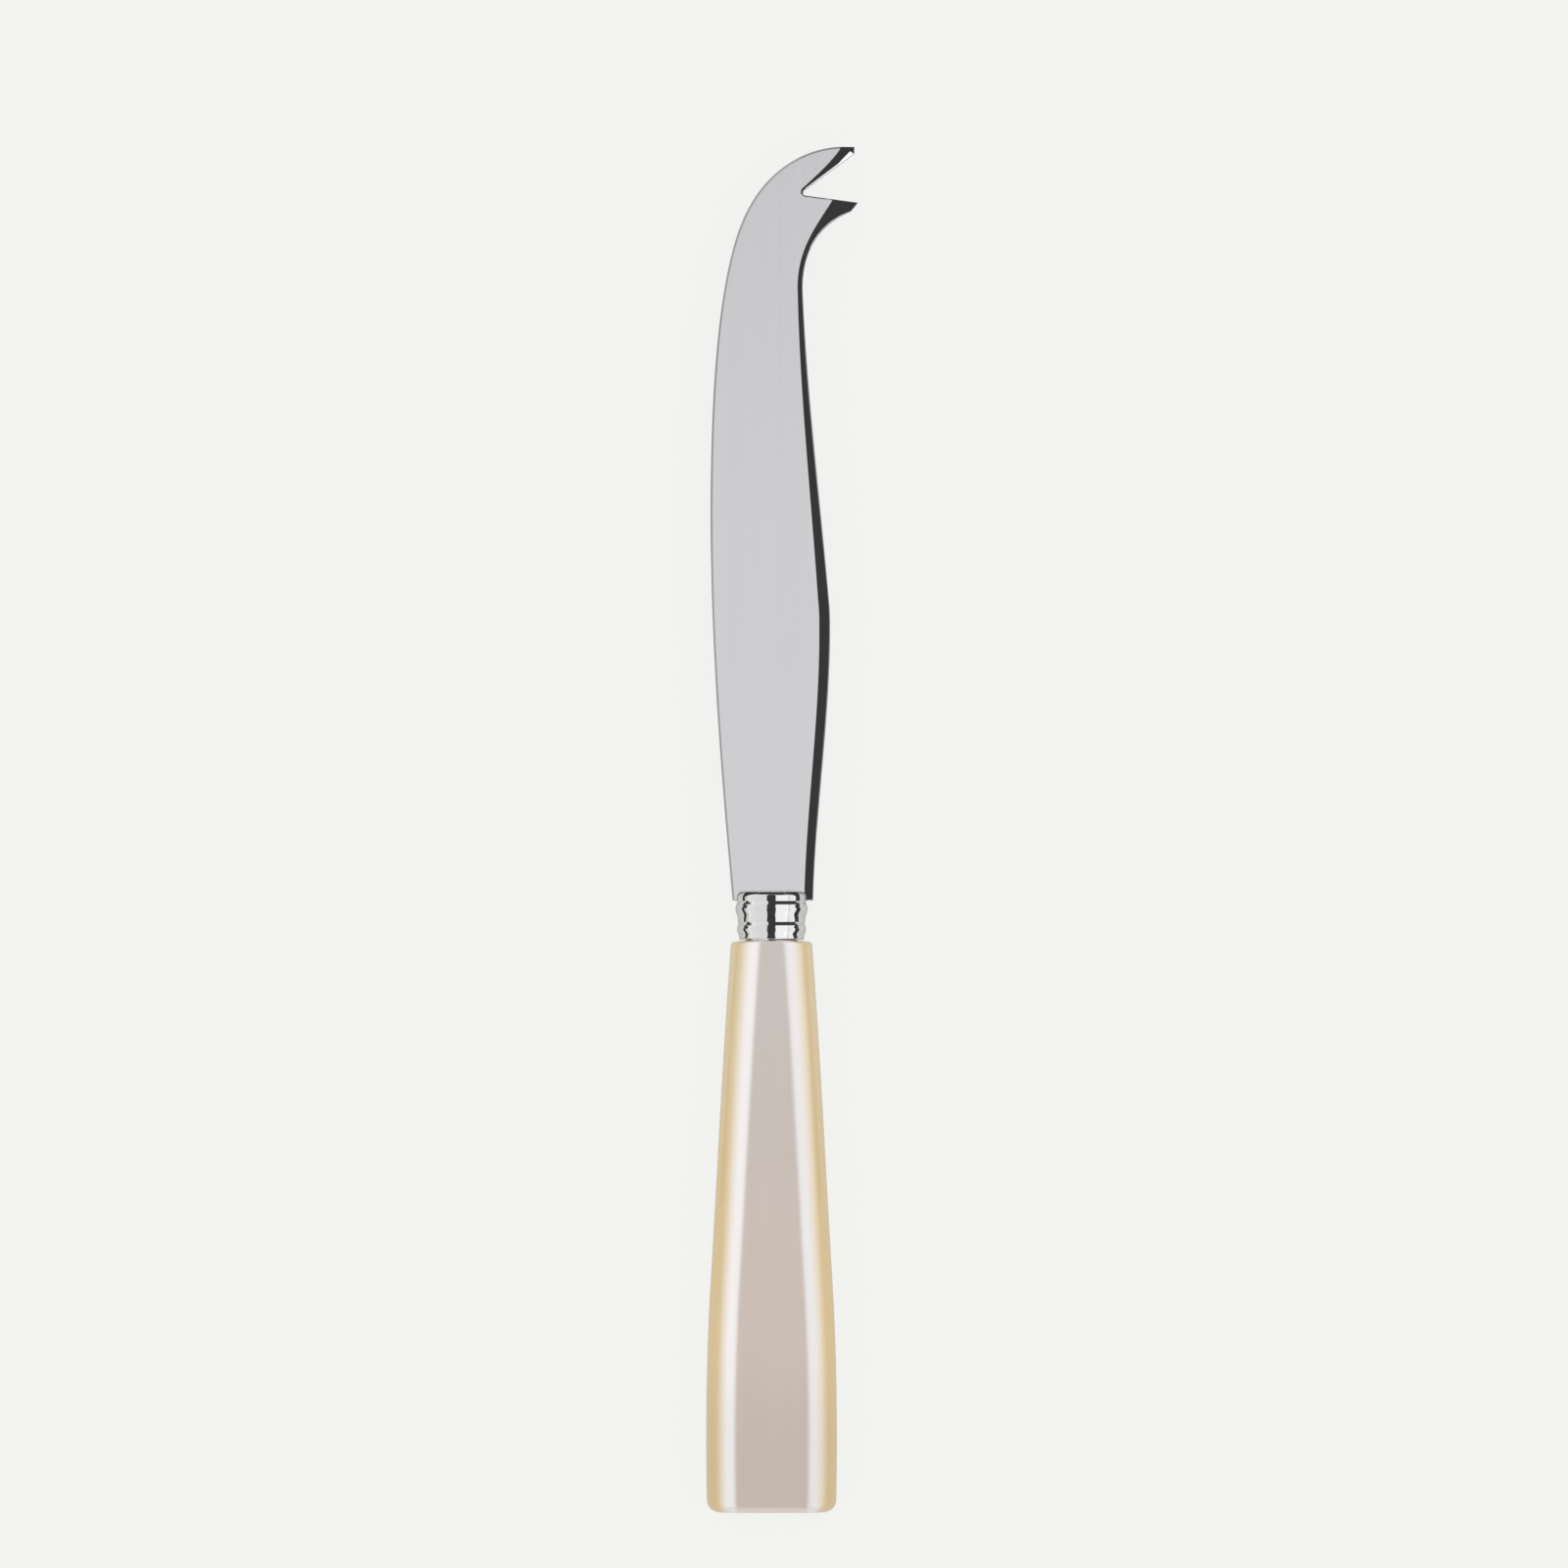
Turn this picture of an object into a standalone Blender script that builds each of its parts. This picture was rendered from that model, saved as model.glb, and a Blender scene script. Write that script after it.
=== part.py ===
"""Forked cheese knife: ground steel blade, ribbed ferrule and pearl handle.

Frame: +X runs from the butt to the blade's tip, +Z is up with the knife lying on
the flat back of its handle, and +Y is the side of the cutting edge. The origin is
the centre of that flat back face. All pieces hang on an empty at the joint, where
the knife's axis crosses the handle's front face, and are modelled from there.
"""
import math

import bmesh
import bpy
from mathutils import Matrix, Vector
from mathutils.geometry import interpolate_bezier

MM = 0.001

# Clearance between pieces that touch, and the step by which cutters overshoot.
SEAT_GAP = 0.3 * MM
OVERSHOOT = 1.0 * MM

# Handle: a moulded bar, flat front and back, widening in a gentle curve to the butt.
HANDLE_LENGTH = 104.6 * MM
HANDLE_THICKNESS = 14.4 * MM
HANDLE_FRONT_WIDTH = 14.9 * MM
HANDLE_HIP_WIDTH = 22.4 * MM
HANDLE_BUTT_WIDTH = 23.7 * MM
HANDLE_FULLNESS = 0.3 * MM
HANDLE_HIP_FROM_BUTT = 42.0 * MM
HANDLE_CORNER_RADIUS = 5.9 * MM
FRONT_EDGE_RADIUS = 0.8 * MM
BUTT_EDGE_RADIUS = 2.2 * MM
CORNER_STEPS = 7
EDGE_STEPS = 4
SIDE_STEPS = 9

# Ferrule: a turned shell with two beads under a cap with a round edge. Lengths follow one
# another from the joint, and a rise is the height of the surface over the base radius.
FERRULE_BASE_RADIUS = 5.96 * MM
FERRULE_WALL = 0.8 * MM
FERRULE_FOOT_LENGTH = 1.0 * MM
LOWER_BEAD_SWELL, LOWER_BEAD_FALL, LOWER_BEAD_RISE = 1.42 * MM, 0.73 * MM, 0.39 * MM
WAIST_RISE, WAIST_LENGTH = 0.25 * MM, 0.41 * MM
UPPER_BEAD_SWELL, UPPER_BEAD_FALL, UPPER_BEAD_RISE = 2.0 * MM, 0.79 * MM, 0.68 * MM
CAP_RISE = 0.52 * MM
CAP_LENGTH = 1.67 * MM
CAP_EDGE_RADIUS = 0.75 * MM
CAP_CROWN = 0.15 * MM
CAP_FLOOR_THICKNESS = 1.3 * MM
BLADE_SLOT_DEPTH = 1.97 * MM
GROOVE_DEPTH = 0.17 * MM
GROOVE_HALF_WIDTH = 0.32 * MM
BEAD_STEPS = 5
CAP_EDGE_STEPS = 5
CROWN_STEPS = 3
TURN_STEPS = 56

# Blade: one plate, ground to two flat faces that lean towards the cutting edge.
BLADE_LENGTH = 138.43 * MM
SPINE_THICKNESS = 2.3 * MM
EDGE_THICKNESS = 0.62 * MM
TIP_THICKNESS = 1.8 * MM
HEEL_EDGE_SIDE, HEEL_EDGE_SLOPE = 7.16 * MM, 0.091
HEEL_SPINE_SIDE, HEEL_SPINE_SLOPE = 7.65 * MM, 0.025
HEEL_CORNER_RADIUS = 0.5 * MM
BELLY_AT, BELLY_SIDE, BELLY_SLOPE = 71.5 * MM, 11.2 * MM, -0.001
SWEEP_BEHIND_TIP, SWEEP_SIDE, SWEEP_SLOPE = 15.6 * MM, 6.12 * MM, -0.347
SWEEP_REACHES = (0.24, 0.96)
TIP_REACH = 0.08
SPINE_PEAK_AT, SPINE_PEAK_SIDE, SPINE_PEAK_SLOPE = 53.0 * MM, 10.75 * MM, 0.088
SPINE_PEAK_ROUNDING = 3.0 * MM
NECK_BEHIND_TIP, NECK_SIDE, NECK_SLOPE = 27.0 * MM, 5.75 * MM, 0.042

# Fork: two blunt prongs on the spine side of the tip, with a narrow notch between.
UPPER_PRONG_REACH = 15.2 * MM
LOWER_PRONG_REACH = 15.9 * MM
LOWER_PRONG_BEHIND_TIP = 10.23 * MM
UPPER_PRONG_END = 1.28 * MM
LOWER_PRONG_END = 1.65 * MM
PRONG_UNDERCUT = 1.25 * MM
NOTCH_APEX_BEHIND_TIP, NOTCH_APEX_SIDE = 8.77 * MM, 4.95 * MM
NOTCH_ROOT_RADIUS = 0.53 * MM
WEDGE_WIDTH = 0.6 * MM
WEDGE_LENGTH = 2.9 * MM
UPPER_FACET_BACK = 2.6 * MM
LOWER_FACET_BACK = 4.75 * MM

# Bends of the curved lines there: each end's pull, as shares of the run along and across.
UPPER_FACET_BEND = ((0.3, 0.2), (0.27, 0.32))
LOWER_FACET_BEND = ((0.28, 0.47), (0.46, -0.065))
UNDERSIDE_BEND = ((0.18, 0.8), (0.4, -0.035))

# Ground bands along the rim of the blade, measured in from the outline. A grind is a
# band's fall for each step towards the outline, and so is the fall of the narrow round
# outside it. The rim stays as high as a share of the plate's half thickness.
EDGE_BEVEL = 0.36 * MM
EDGE_ROUND = 0.05 * MM
EDGE_BREAK = 0.1 * MM
BAND_AT_HEEL = 1.65 * MM
BAND_AT_PEAK = 2.0 * MM
BAND_AT_NECK = 0.95 * MM
BAND_AT_NOTCH = 0.55 * MM
ROUND_AT_NOTCH = 0.18 * MM
ROUND_AT_PRONGS = 0.4 * MM
ROUND_AT_NECK = 0.2 * MM
ROUND_AT_PEAK = 0.42 * MM
KEEN, FACET, PRONG, BREAK = 0.7, 0.42, 0.19, 0.8
ROUND_FALL = 1.1
LEAST_HEIGHT = 0.15

# Steps along the rim's curves.
LONG_STEPS = 14
CURL_STEPS = 16
FACET_STEPS = 9
NOTCH_STEPS = 6
SHORT_STEPS = 3

# Tang: the plate's tail inside the handle.
TANG_THICKNESS = 1.6 * MM
TANG_END_WIDTH = 4.6 * MM
TANG_END_FROM_BUTT = 24.0 * MM
TANG_ROOT = 0.7 * MM
TANG_END_STEPS = 8
SPIGOT_WALL = 0.95 * MM

# Corners turning more than this many degrees are drawn sharp, points closer than the
# merge distance become one, and a ring set in from a corner is mitred up to a limit.
ROUND_PIECE_SHARP = 25
BLADE_SHARP = 12
MERGE_DISTANCE = 0.001 * MM
MITRE_LIMIT = 0.6

# Places that follow from the sizes above.
JOINT_PLACE = (HANDLE_LENGTH / 2, 0.0, HANDLE_THICKNESS / 2)
BORE_RADIUS = FERRULE_BASE_RADIUS - FERRULE_WALL
SPIGOT_RADIUS = BORE_RADIUS - SEAT_GAP
LOWER_BEAD_AT = FERRULE_FOOT_LENGTH + LOWER_BEAD_SWELL
WAIST_AT = LOWER_BEAD_AT + LOWER_BEAD_FALL + GROOVE_HALF_WIDTH
WAIST_END = WAIST_AT + GROOVE_HALF_WIDTH + WAIST_LENGTH
UPPER_BEAD_AT = WAIST_END + UPPER_BEAD_SWELL
CAP_GROOVE_AT = UPPER_BEAD_AT + UPPER_BEAD_FALL + GROOVE_HALF_WIDTH
CAP_AT = CAP_GROOVE_AT + GROOVE_HALF_WIDTH
CAP_RADIUS = FERRULE_BASE_RADIUS + CAP_RISE
CAP_TOP = CAP_AT + CAP_LENGTH
SLOT_FLOOR = CAP_TOP - BLADE_SLOT_DEPTH
BORE_DEPTH = SLOT_FLOOR - CAP_FLOOR_THICKNESS
HEEL_AT = SLOT_FLOOR + SEAT_GAP
TIP_AT = HEEL_AT + BLADE_LENGTH
POCKET_HALF_HEIGHT = TANG_THICKNESS / 2 + SEAT_GAP
POCKET_HALF_WIDTH = math.sqrt((SPIGOT_RADIUS - SPIGOT_WALL) ** 2 - POCKET_HALF_HEIGHT ** 2)
TANG_WIDTH = 2 * (POCKET_HALF_WIDTH - SEAT_GAP)


def clear_scene():
    """Remove every object of the open scene."""
    for obj in list(bpy.data.objects):
        bpy.data.objects.remove(obj, do_unlink=True)


def make_collection(name):
    """Make a collection under the scene's own."""
    collection = bpy.data.collections.new(name)
    bpy.context.scene.collection.children.link(collection)
    return collection


def make_material(name, color, roughness, metallic):
    """Make a plain principled material."""
    material = bpy.data.materials.new(name)
    material.use_nodes = True
    shader = material.node_tree.nodes["Principled BSDF"]
    shader.inputs["Base Color"].default_value = (*color, 1.0)
    shader.inputs["Roughness"].default_value = roughness
    shader.inputs["Metallic"].default_value = metallic
    material.diffuse_color = (*color, 1.0)
    return material


def add_joint_empty(collection):
    """The empty that carries every piece, at the middle of the handle's front face."""
    empty = bpy.data.objects.new("joint", None)
    empty.location = JOINT_PLACE
    collection.objects.link(empty)
    return empty


def add_object(name, mesh, collection, material=None):
    """Hang a mesh on the joint's empty, with its material where it has one."""
    obj = bpy.data.objects.new(name, mesh)
    obj.parent = bpy.data.objects["joint"]
    collection.objects.link(obj)
    if material:
        mesh.materials.append(material)
    return obj


def mesh_from_bmesh(name, bm):
    """Turn a bmesh into a mesh with its faces pointing out."""
    bmesh.ops.recalc_face_normals(bm, faces=bm.faces)
    mesh = bpy.data.meshes.new(name)
    bm.to_mesh(mesh)
    bm.free()
    return mesh


def evaluated_mesh(name, data, screw_steps=0):
    """The mesh that a curve, or a profile turned about Z, comes to."""
    holder = bpy.data.objects.new(name, data)
    bpy.context.scene.collection.objects.link(holder)
    if screw_steps:
        screw = holder.modifiers.new("turn", "SCREW")
        screw.steps = screw.render_steps = screw_steps
        screw.use_merge_vertices = True
        screw.merge_threshold = MERGE_DISTANCE
    bpy.context.view_layer.update()
    mesh = bpy.data.meshes.new_from_object(holder.evaluated_get(bpy.context.evaluated_depsgraph_get()))
    mesh.name = name
    bpy.data.objects.remove(holder)
    return mesh


def smooth_by_angle(obj, degrees):
    """Shade smooth apart from edges sharper than an angle."""
    obj.data.shade_smooth()
    obj.data.set_sharp_from_angle(angle=math.radians(degrees))


def as_cutter(obj):
    """Mark an object as a shape that only cuts or joins."""
    obj.hide_render = True
    obj.display_type = "WIRE"
    return obj


def boolean(target, tool, operation):
    """Cut a piece with another, or join the two."""
    modifier = target.modifiers.new(tool.name, "BOOLEAN")
    modifier.operation = operation
    modifier.solver = "EXACT"
    modifier.object = tool


def box(name, low, high, collection):
    """Make a box between two corners."""
    bm = bmesh.new()
    bmesh.ops.create_cube(bm, size=1.0)
    low, high = Vector(low), Vector(high)
    for vert in bm.verts:
        vert.co = low + Vector((c + 0.5) * s for c, s in zip(vert.co, high - low))
    return as_cutter(add_object(name, mesh_from_bmesh(name, bm), collection))


def bezier(start, first, second, end, steps):
    """Points along one cubic curve, both ends included."""
    corners = [Vector((*p, 0.0)) for p in (start, first, second, end)]
    return [p.to_2d() for p in interpolate_bezier(*corners, steps + 1)]


def bent(start, end, bend, steps):
    """Points along a cubic curve whose handles are shares of the run between its ends."""
    start, end = Vector(start), Vector(end)
    run = end - start
    pulls = [Vector((run.x * along, run.y * across)) for along, across in bend]
    return bezier(start, start + pulls[0], end - pulls[1], end, steps)


def line(start, end, steps):
    """Points along a straight line, both ends included."""
    start, end = Vector(start), Vector(end)
    return [start.lerp(end, i / steps) for i in range(steps + 1)]


def blend(first, last, share):
    """A value between two others."""
    return first + (last - first) * share


def handle_side():
    """Stations along the handle as (distance from the joint, half width)."""
    front = (0.0, HANDLE_FRONT_WIDTH / 2)
    hip_at = HANDLE_HIP_FROM_BUTT - HANDLE_LENGTH
    hip = (hip_at, HANDLE_HIP_WIDTH / 2)
    butt = (-HANDLE_LENGTH, HANDLE_BUTT_WIDTH / 2)
    rate = (hip[1] - front[1]) / hip_at
    third = hip_at / 3
    taper = bezier(front, (third, front[1] + rate * third + HANDLE_FULLNESS),
                   (2 * third, front[1] + rate * 2 * third), hip, SIDE_STEPS)
    reach = HANDLE_HIP_FROM_BUTT / 3
    butt_end = bezier(hip, (hip_at - reach, hip[1] - rate * reach),
                      (-HANDLE_LENGTH + reach, butt[1] + HANDLE_FULLNESS), butt, SIDE_STEPS)
    return taper + butt_end[1:]


def half_width_at(distance, side):
    """Half width of the handle at a distance from the joint."""
    for near, far in zip(side, side[1:]):
        if far[0] <= distance <= near[0]:
            return blend(near[1], far[1], (near[0] - distance) / (near[0] - far[0]))
    return side[-1][1]


def handle_section(distance, half_width, inset):
    """One ring of the handle: a rectangle with round corners, shrunk by an inset."""
    half_width -= inset
    half_height = HANDLE_THICKNESS / 2 - inset
    radius = min(HANDLE_CORNER_RADIUS, half_width + inset, half_height + inset) - inset
    ring = []
    for quarter, (sy, sz) in enumerate(((1, 1), (-1, 1), (-1, -1), (1, -1))):
        for step in range(CORNER_STEPS + 1):
            turn = math.radians(90 * (quarter + step / CORNER_STEPS))
            ring.append(Vector((distance,
                                sy * (half_width - radius) + radius * math.cos(turn),
                                sz * (half_height - radius) + radius * math.sin(turn))))
    return ring


def handle_rings():
    """All rings of the handle, from the front face to the butt."""
    side = handle_side()
    rings = []
    for step in range(EDGE_STEPS):
        turn = math.radians(90 * step / EDGE_STEPS)
        distance = -FRONT_EDGE_RADIUS * (1 - math.cos(turn))
        inset = FRONT_EDGE_RADIUS * (1 - math.sin(turn))
        rings.append(handle_section(distance, half_width_at(distance, side), inset))
    first, last = -FRONT_EDGE_RADIUS, BUTT_EDGE_RADIUS - HANDLE_LENGTH
    stations = [first] + [p[0] for p in side if last < p[0] < first] + [last]
    for distance in stations:
        rings.append(handle_section(distance, half_width_at(distance, side), 0.0))
    for step in range(1, EDGE_STEPS + 1):
        turn = math.radians(90 * step / EDGE_STEPS)
        distance = last - BUTT_EDGE_RADIUS * math.sin(turn)
        inset = BUTT_EDGE_RADIUS * (1 - math.cos(turn))
        rings.append(handle_section(distance, half_width_at(distance, side), inset))
    return rings


def loft(name, rings):
    """Skin a row of equal rings and close both ends."""
    bm = bmesh.new()
    rows = [[bm.verts.new(p) for p in ring] for ring in rings]
    count = len(rows[0])
    for near, far in zip(rows, rows[1:]):
        for i in range(count):
            j = (i + 1) % count
            bm.faces.new((near[i], near[j], far[j], far[i]))
    bm.faces.new(rows[0])
    bm.faces.new(rows[-1])
    bmesh.ops.remove_doubles(bm, verts=bm.verts, dist=MERGE_DISTANCE)
    return mesh_from_bmesh(name, bm)


def tang_solid(name, clearance, front, collection):
    """The tang's shape, grown by a clearance, from its blunt tail to a front plane."""
    half_end = TANG_END_WIDTH / 2 + clearance
    half_root = TANG_WIDTH / 2 + clearance
    tail = TANG_END_FROM_BUTT + TANG_END_WIDTH / 2 - HANDLE_LENGTH
    curve = bpy.data.curves.new(name, "CURVE")
    curve.dimensions = "2D"
    curve.fill_mode = "BOTH"
    curve.extrude = TANG_THICKNESS / 2 + clearance
    points = [(front, half_root), (0.0, half_root), (tail, half_end)]
    for step in range(1, TANG_END_STEPS):
        turn = math.radians(90 + 180 * step / TANG_END_STEPS)
        points.append((tail + half_end * math.cos(turn), half_end * math.sin(turn)))
    points += [(x, -y) for x, y in reversed(points[:3])]
    spline = curve.splines.new("POLY")
    spline.points.add(len(points) - 1)
    for point, (x, y) in zip(spline.points, points):
        point.co = (x, y, 0.0, 1.0)
    spline.use_cyclic_u = True
    bm = bmesh.new()
    bm.from_mesh(evaluated_mesh(name, curve))
    bmesh.ops.remove_doubles(bm, verts=bm.verts, dist=MERGE_DISTANCE)
    return as_cutter(add_object(name, mesh_from_bmesh(name, bm), collection))


def build_handle(collection, cutters, material):
    """The handle with its spigot for the ferrule and its pocket for the tang."""
    handle = add_object("handle", loft("handle", handle_rings()), collection, material)
    reach = BORE_DEPTH - SEAT_GAP + OVERSHOOT
    bm = bmesh.new()
    bmesh.ops.create_cone(bm, cap_ends=True, segments=TURN_STEPS, radius1=SPIGOT_RADIUS,
                          radius2=SPIGOT_RADIUS, depth=reach)
    spigot = as_cutter(add_object("spigot", mesh_from_bmesh("spigot", bm), cutters))
    spigot.rotation_euler.y = math.radians(90)
    spigot.location.x = reach / 2 - OVERSHOOT
    boolean(handle, spigot, "UNION")
    pocket = tang_solid("tang_pocket", SEAT_GAP, BORE_DEPTH + OVERSHOOT, cutters)
    boolean(handle, pocket, "DIFFERENCE")
    smooth_by_angle(handle, ROUND_PIECE_SHARP)
    return handle


def ogee(start, end, steps):
    """Profile points from one (distance, rise) up to another along half a cosine wave."""
    points = []
    for step in range(steps):
        share = step / steps
        ease = (1 - math.cos(math.pi * share)) / 2
        points.append((blend(start[0], end[0], share), blend(start[1], end[1], ease)))
    return points


def groove(middle, rise):
    """Three profile points of a V groove in a surface of a given rise."""
    return [(middle - GROOVE_HALF_WIDTH, rise), (middle, rise - GROOVE_DEPTH),
            (middle + GROOVE_HALF_WIDTH, rise)]


def ferrule_outside():
    """Outer profile from the foot to the middle of the cap's top, as (distance, radius)."""
    foot = (FERRULE_FOOT_LENGTH, 0.0)
    lower_bead = (LOWER_BEAD_AT, LOWER_BEAD_RISE)
    upper_bead = (UPPER_BEAD_AT, UPPER_BEAD_RISE)
    waist = groove(WAIST_AT, WAIST_RISE)
    under_cap = groove(CAP_GROOVE_AT, CAP_RISE)
    rises = [(SEAT_GAP, 0.0)]
    rises += ogee(foot, lower_bead, BEAD_STEPS)
    rises += ogee(lower_bead, waist[0], BEAD_STEPS) + waist[:2]
    rises += waist[2:] + ogee((WAIST_END, WAIST_RISE), upper_bead, BEAD_STEPS)
    rises += ogee(upper_bead, under_cap[0], BEAD_STEPS) + under_cap
    profile = [(distance, FERRULE_BASE_RADIUS + rise) for distance, rise in rises]
    crown_radius = CAP_RADIUS - CAP_EDGE_RADIUS
    edge_top = CAP_TOP - CAP_CROWN
    for step in range(CAP_EDGE_STEPS):
        turn = math.radians(90 * step / CAP_EDGE_STEPS)
        profile.append((edge_top - CAP_EDGE_RADIUS * (1 - math.sin(turn)),
                        crown_radius + CAP_EDGE_RADIUS * math.cos(turn)))
    for step in range(CROWN_STEPS + 1):
        share = 1 - step / CROWN_STEPS
        profile.append((CAP_TOP - CAP_CROWN * share ** 2, crown_radius * share))
    return profile


def turned(name, profile):
    """Turn a profile of (height, radius) about Z, given from its top down the outside."""
    bm = bmesh.new()
    verts = [bm.verts.new((radius, 0.0, height)) for height, radius in profile]
    for near, far in zip(verts, verts[1:]):
        bm.edges.new((near, far))
    mesh = bpy.data.meshes.new(name + "_profile")
    bm.to_mesh(mesh)
    bm.free()
    return evaluated_mesh(name, mesh, TURN_STEPS)


def build_ferrule(collection, cutters, material):
    """The turned ferrule with its bore, the blade's slot and the tang's opening."""
    inside = [(SEAT_GAP, BORE_RADIUS), (BORE_DEPTH, BORE_RADIUS), (BORE_DEPTH, 0.0)]
    profile = ferrule_outside()[::-1] + inside
    ferrule = add_object("ferrule", turned("ferrule", profile), collection, material)
    ferrule.rotation_euler.y = math.radians(90)
    reach = CAP_RADIUS + OVERSHOOT
    height = half_thickness(HEEL_AT, -HEEL_SPINE_SIDE) + SEAT_GAP
    slot = box("blade_slot", (SLOT_FLOOR, -reach, -height), (CAP_TOP + OVERSHOOT, reach, height),
               cutters)
    boolean(ferrule, slot, "DIFFERENCE")
    boolean(ferrule, tang_solid("tang_way", SEAT_GAP, SLOT_FLOOR + OVERSHOOT, cutters), "DIFFERENCE")
    smooth_by_angle(ferrule, ROUND_PIECE_SHARP)
    return ferrule


def half_thickness(distance, side):
    """Half the plate's thickness at a place, with side positive towards the edge."""
    lean = (SPINE_THICKNESS - EDGE_THICKNESS) / (SPINE_PEAK_SIDE + BELLY_SIDE)
    fall = (SPINE_THICKNESS - TIP_THICKNESS) * (distance - HEEL_AT) / BLADE_LENGTH
    return (SPINE_THICKNESS - lean * (side + SPINE_PEAK_SIDE) - fall) / 2


class Rim:
    """The rim of the blade: its outline, with a line inside it where the flat face ends.

    Between the two runs a third line, set in from the outline by a round. The band
    inside it falls by its grind, and the round outside it falls more steeply.
    """

    def __init__(self):
        self.outline = []
        self.inner = []
        self.rounds = []
        self.grinds = []

    def add(self, points, inner, rounds, grinds):
        """Add a stretch up to its last point, which the next stretch begins with.

        inner is a list of points, one shared point, or two widths; rounds and
        grinds hold a value for the start and one for the end.
        """
        count = len(points) - 1
        for i in range(count):
            share = i / count
            if isinstance(inner, list):
                place = inner[i]
            elif isinstance(inner, Vector):
                place = inner
            else:
                place = blend(*inner, share)
            self.outline.append(points[i])
            self.inner.append(place)
            self.rounds.append(blend(*rounds, share))
            self.grinds.append(blend(*grinds, share))

    def inward(self, i):
        """Direction into the plate at a point, long enough to keep a corner's width."""
        here = self.outline[i]
        came = (here - self.outline[i - 1]).normalized()
        goes = (self.outline[(i + 1) % len(self.outline)] - here).normalized()
        along = (came + goes).normalized()
        return Vector((along.y, -along.x)) / max(along.dot(goes), MITRE_LIMIT)

    def rings(self):
        """Inner line, round and outline as lists of (distance, side, half height)."""
        inner, crest, outline = [], [], []
        for i, point in enumerate(self.outline):
            inward = self.inward(i)
            place = self.inner[i]
            if not isinstance(place, Vector):
                place = point + inward * place
            top = half_thickness(*place)
            width = self.rounds[i]
            fall = self.grinds[i] * max((place - point).length - width, 0.0)
            crest_height = max(top - fall, LEAST_HEIGHT * top)
            rim_height = max(crest_height - ROUND_FALL * width, LEAST_HEIGHT * crest_height)
            inner.append((*place, top))
            crest.append((*(point + inward * width), crest_height))
            outline.append((*point, rim_height))
        return inner, crest, outline


def notch_root(upper, lower):
    """Arc of the notch's round root, tangent to the lines to two prong corners."""
    apex = Vector((TIP_AT - NOTCH_APEX_BEHIND_TIP, -NOTCH_APEX_SIDE))
    to_upper = (upper - apex).normalized()
    to_lower = (lower - apex).normalized()
    half_angle = to_upper.angle(to_lower) / 2
    middle = (to_upper + to_lower).normalized()
    centre = apex + middle * NOTCH_ROOT_RADIUS / math.sin(half_angle)
    tangent = NOTCH_ROOT_RADIUS / math.tan(half_angle)
    first = apex + to_upper * tangent
    last = apex + to_lower * tangent
    spoke = first - centre
    turn = math.copysign(math.pi - 2 * half_angle, spoke.cross(last - centre))
    steps = range(NOTCH_STEPS + 1)
    return [centre + Matrix.Rotation(turn * i / NOTCH_STEPS, 2) @ spoke for i in steps]


def edge_stretches(rim):
    """The cutting edge, from the heel's corner along the belly to the upper prong."""
    heel = Vector((HEEL_AT, HEEL_EDGE_SIDE))
    low = heel + Vector((1, HEEL_EDGE_SLOPE)) * HEEL_CORNER_RADIUS
    belly = Vector((HEEL_AT + BELLY_AT, BELLY_SIDE))
    sweep = Vector((TIP_AT - SWEEP_BEHIND_TIP, SWEEP_SIDE))
    prong = Vector((TIP_AT, UPPER_FACET_BACK - UPPER_PRONG_REACH))
    bevel = (EDGE_BEVEL, EDGE_BEVEL)
    rounds = (EDGE_ROUND, EDGE_ROUND)
    keen = (KEEN, KEEN)
    corner = bezier(heel - Vector((0, HEEL_CORNER_RADIUS)), heel, heel, low, SHORT_STEPS)
    rim.add(corner, (2 * EDGE_BREAK, EDGE_BEVEL), (EDGE_BREAK, EDGE_ROUND), (BREAK, KEEN))
    third = (belly.x - low.x) / 3
    rim.add(bezier(low, low + Vector((1, HEEL_EDGE_SLOPE)) * third,
                   belly - Vector((1, BELLY_SLOPE)) * third, belly, LONG_STEPS),
            bevel, rounds, keen)
    run = sweep.x - belly.x
    rim.add(bezier(belly, belly + Vector((1, BELLY_SLOPE)) * run / 3,
                   sweep - Vector((1, SWEEP_SLOPE)) * run * SWEEP_REACHES[0], sweep, LONG_STEPS),
            bevel, rounds, keen)
    run = prong.x - sweep.x
    rim.add(bezier(sweep, sweep + Vector((1, SWEEP_SLOPE)) * run * SWEEP_REACHES[1],
                   prong + Vector((0, (sweep.y - prong.y) * TIP_REACH)), prong, CURL_STEPS),
            bevel, rounds, keen)
    return prong


def upper_prong_stretches(rim, prong, tip, tip_end, root):
    """The upper prong's blunt end and its side of the notch.

    One ground facet covers both. Along the notch a steeper wedge runs out of its end.
    """
    corner = prong - Vector((EDGE_BEVEL, 0))
    grinds = (PRONG, PRONG)
    rim.add(line(prong, tip, SHORT_STEPS), corner, (EDGE_ROUND, EDGE_BREAK), grinds)
    rim.add(line(tip, tip_end, SHORT_STEPS), corner, (EDGE_BREAK, WEDGE_WIDTH), grinds)
    run = root - tip_end
    side = run.normalized()
    end = root + Vector((side.y, -side.x)) * BAND_AT_NOTCH
    notch_side = line(tip_end, root, FACET_STEPS)
    face = bent(corner, end, UPPER_FACET_BEND, FACET_STEPS)
    last = round(FACET_STEPS * WEDGE_LENGTH / run.length)
    rim.add(notch_side[:last + 1], face, (WEDGE_WIDTH, ROUND_AT_NOTCH), grinds)
    rim.add(notch_side[last:], face[last:], (ROUND_AT_NOTCH, ROUND_AT_NOTCH), grinds)


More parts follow.
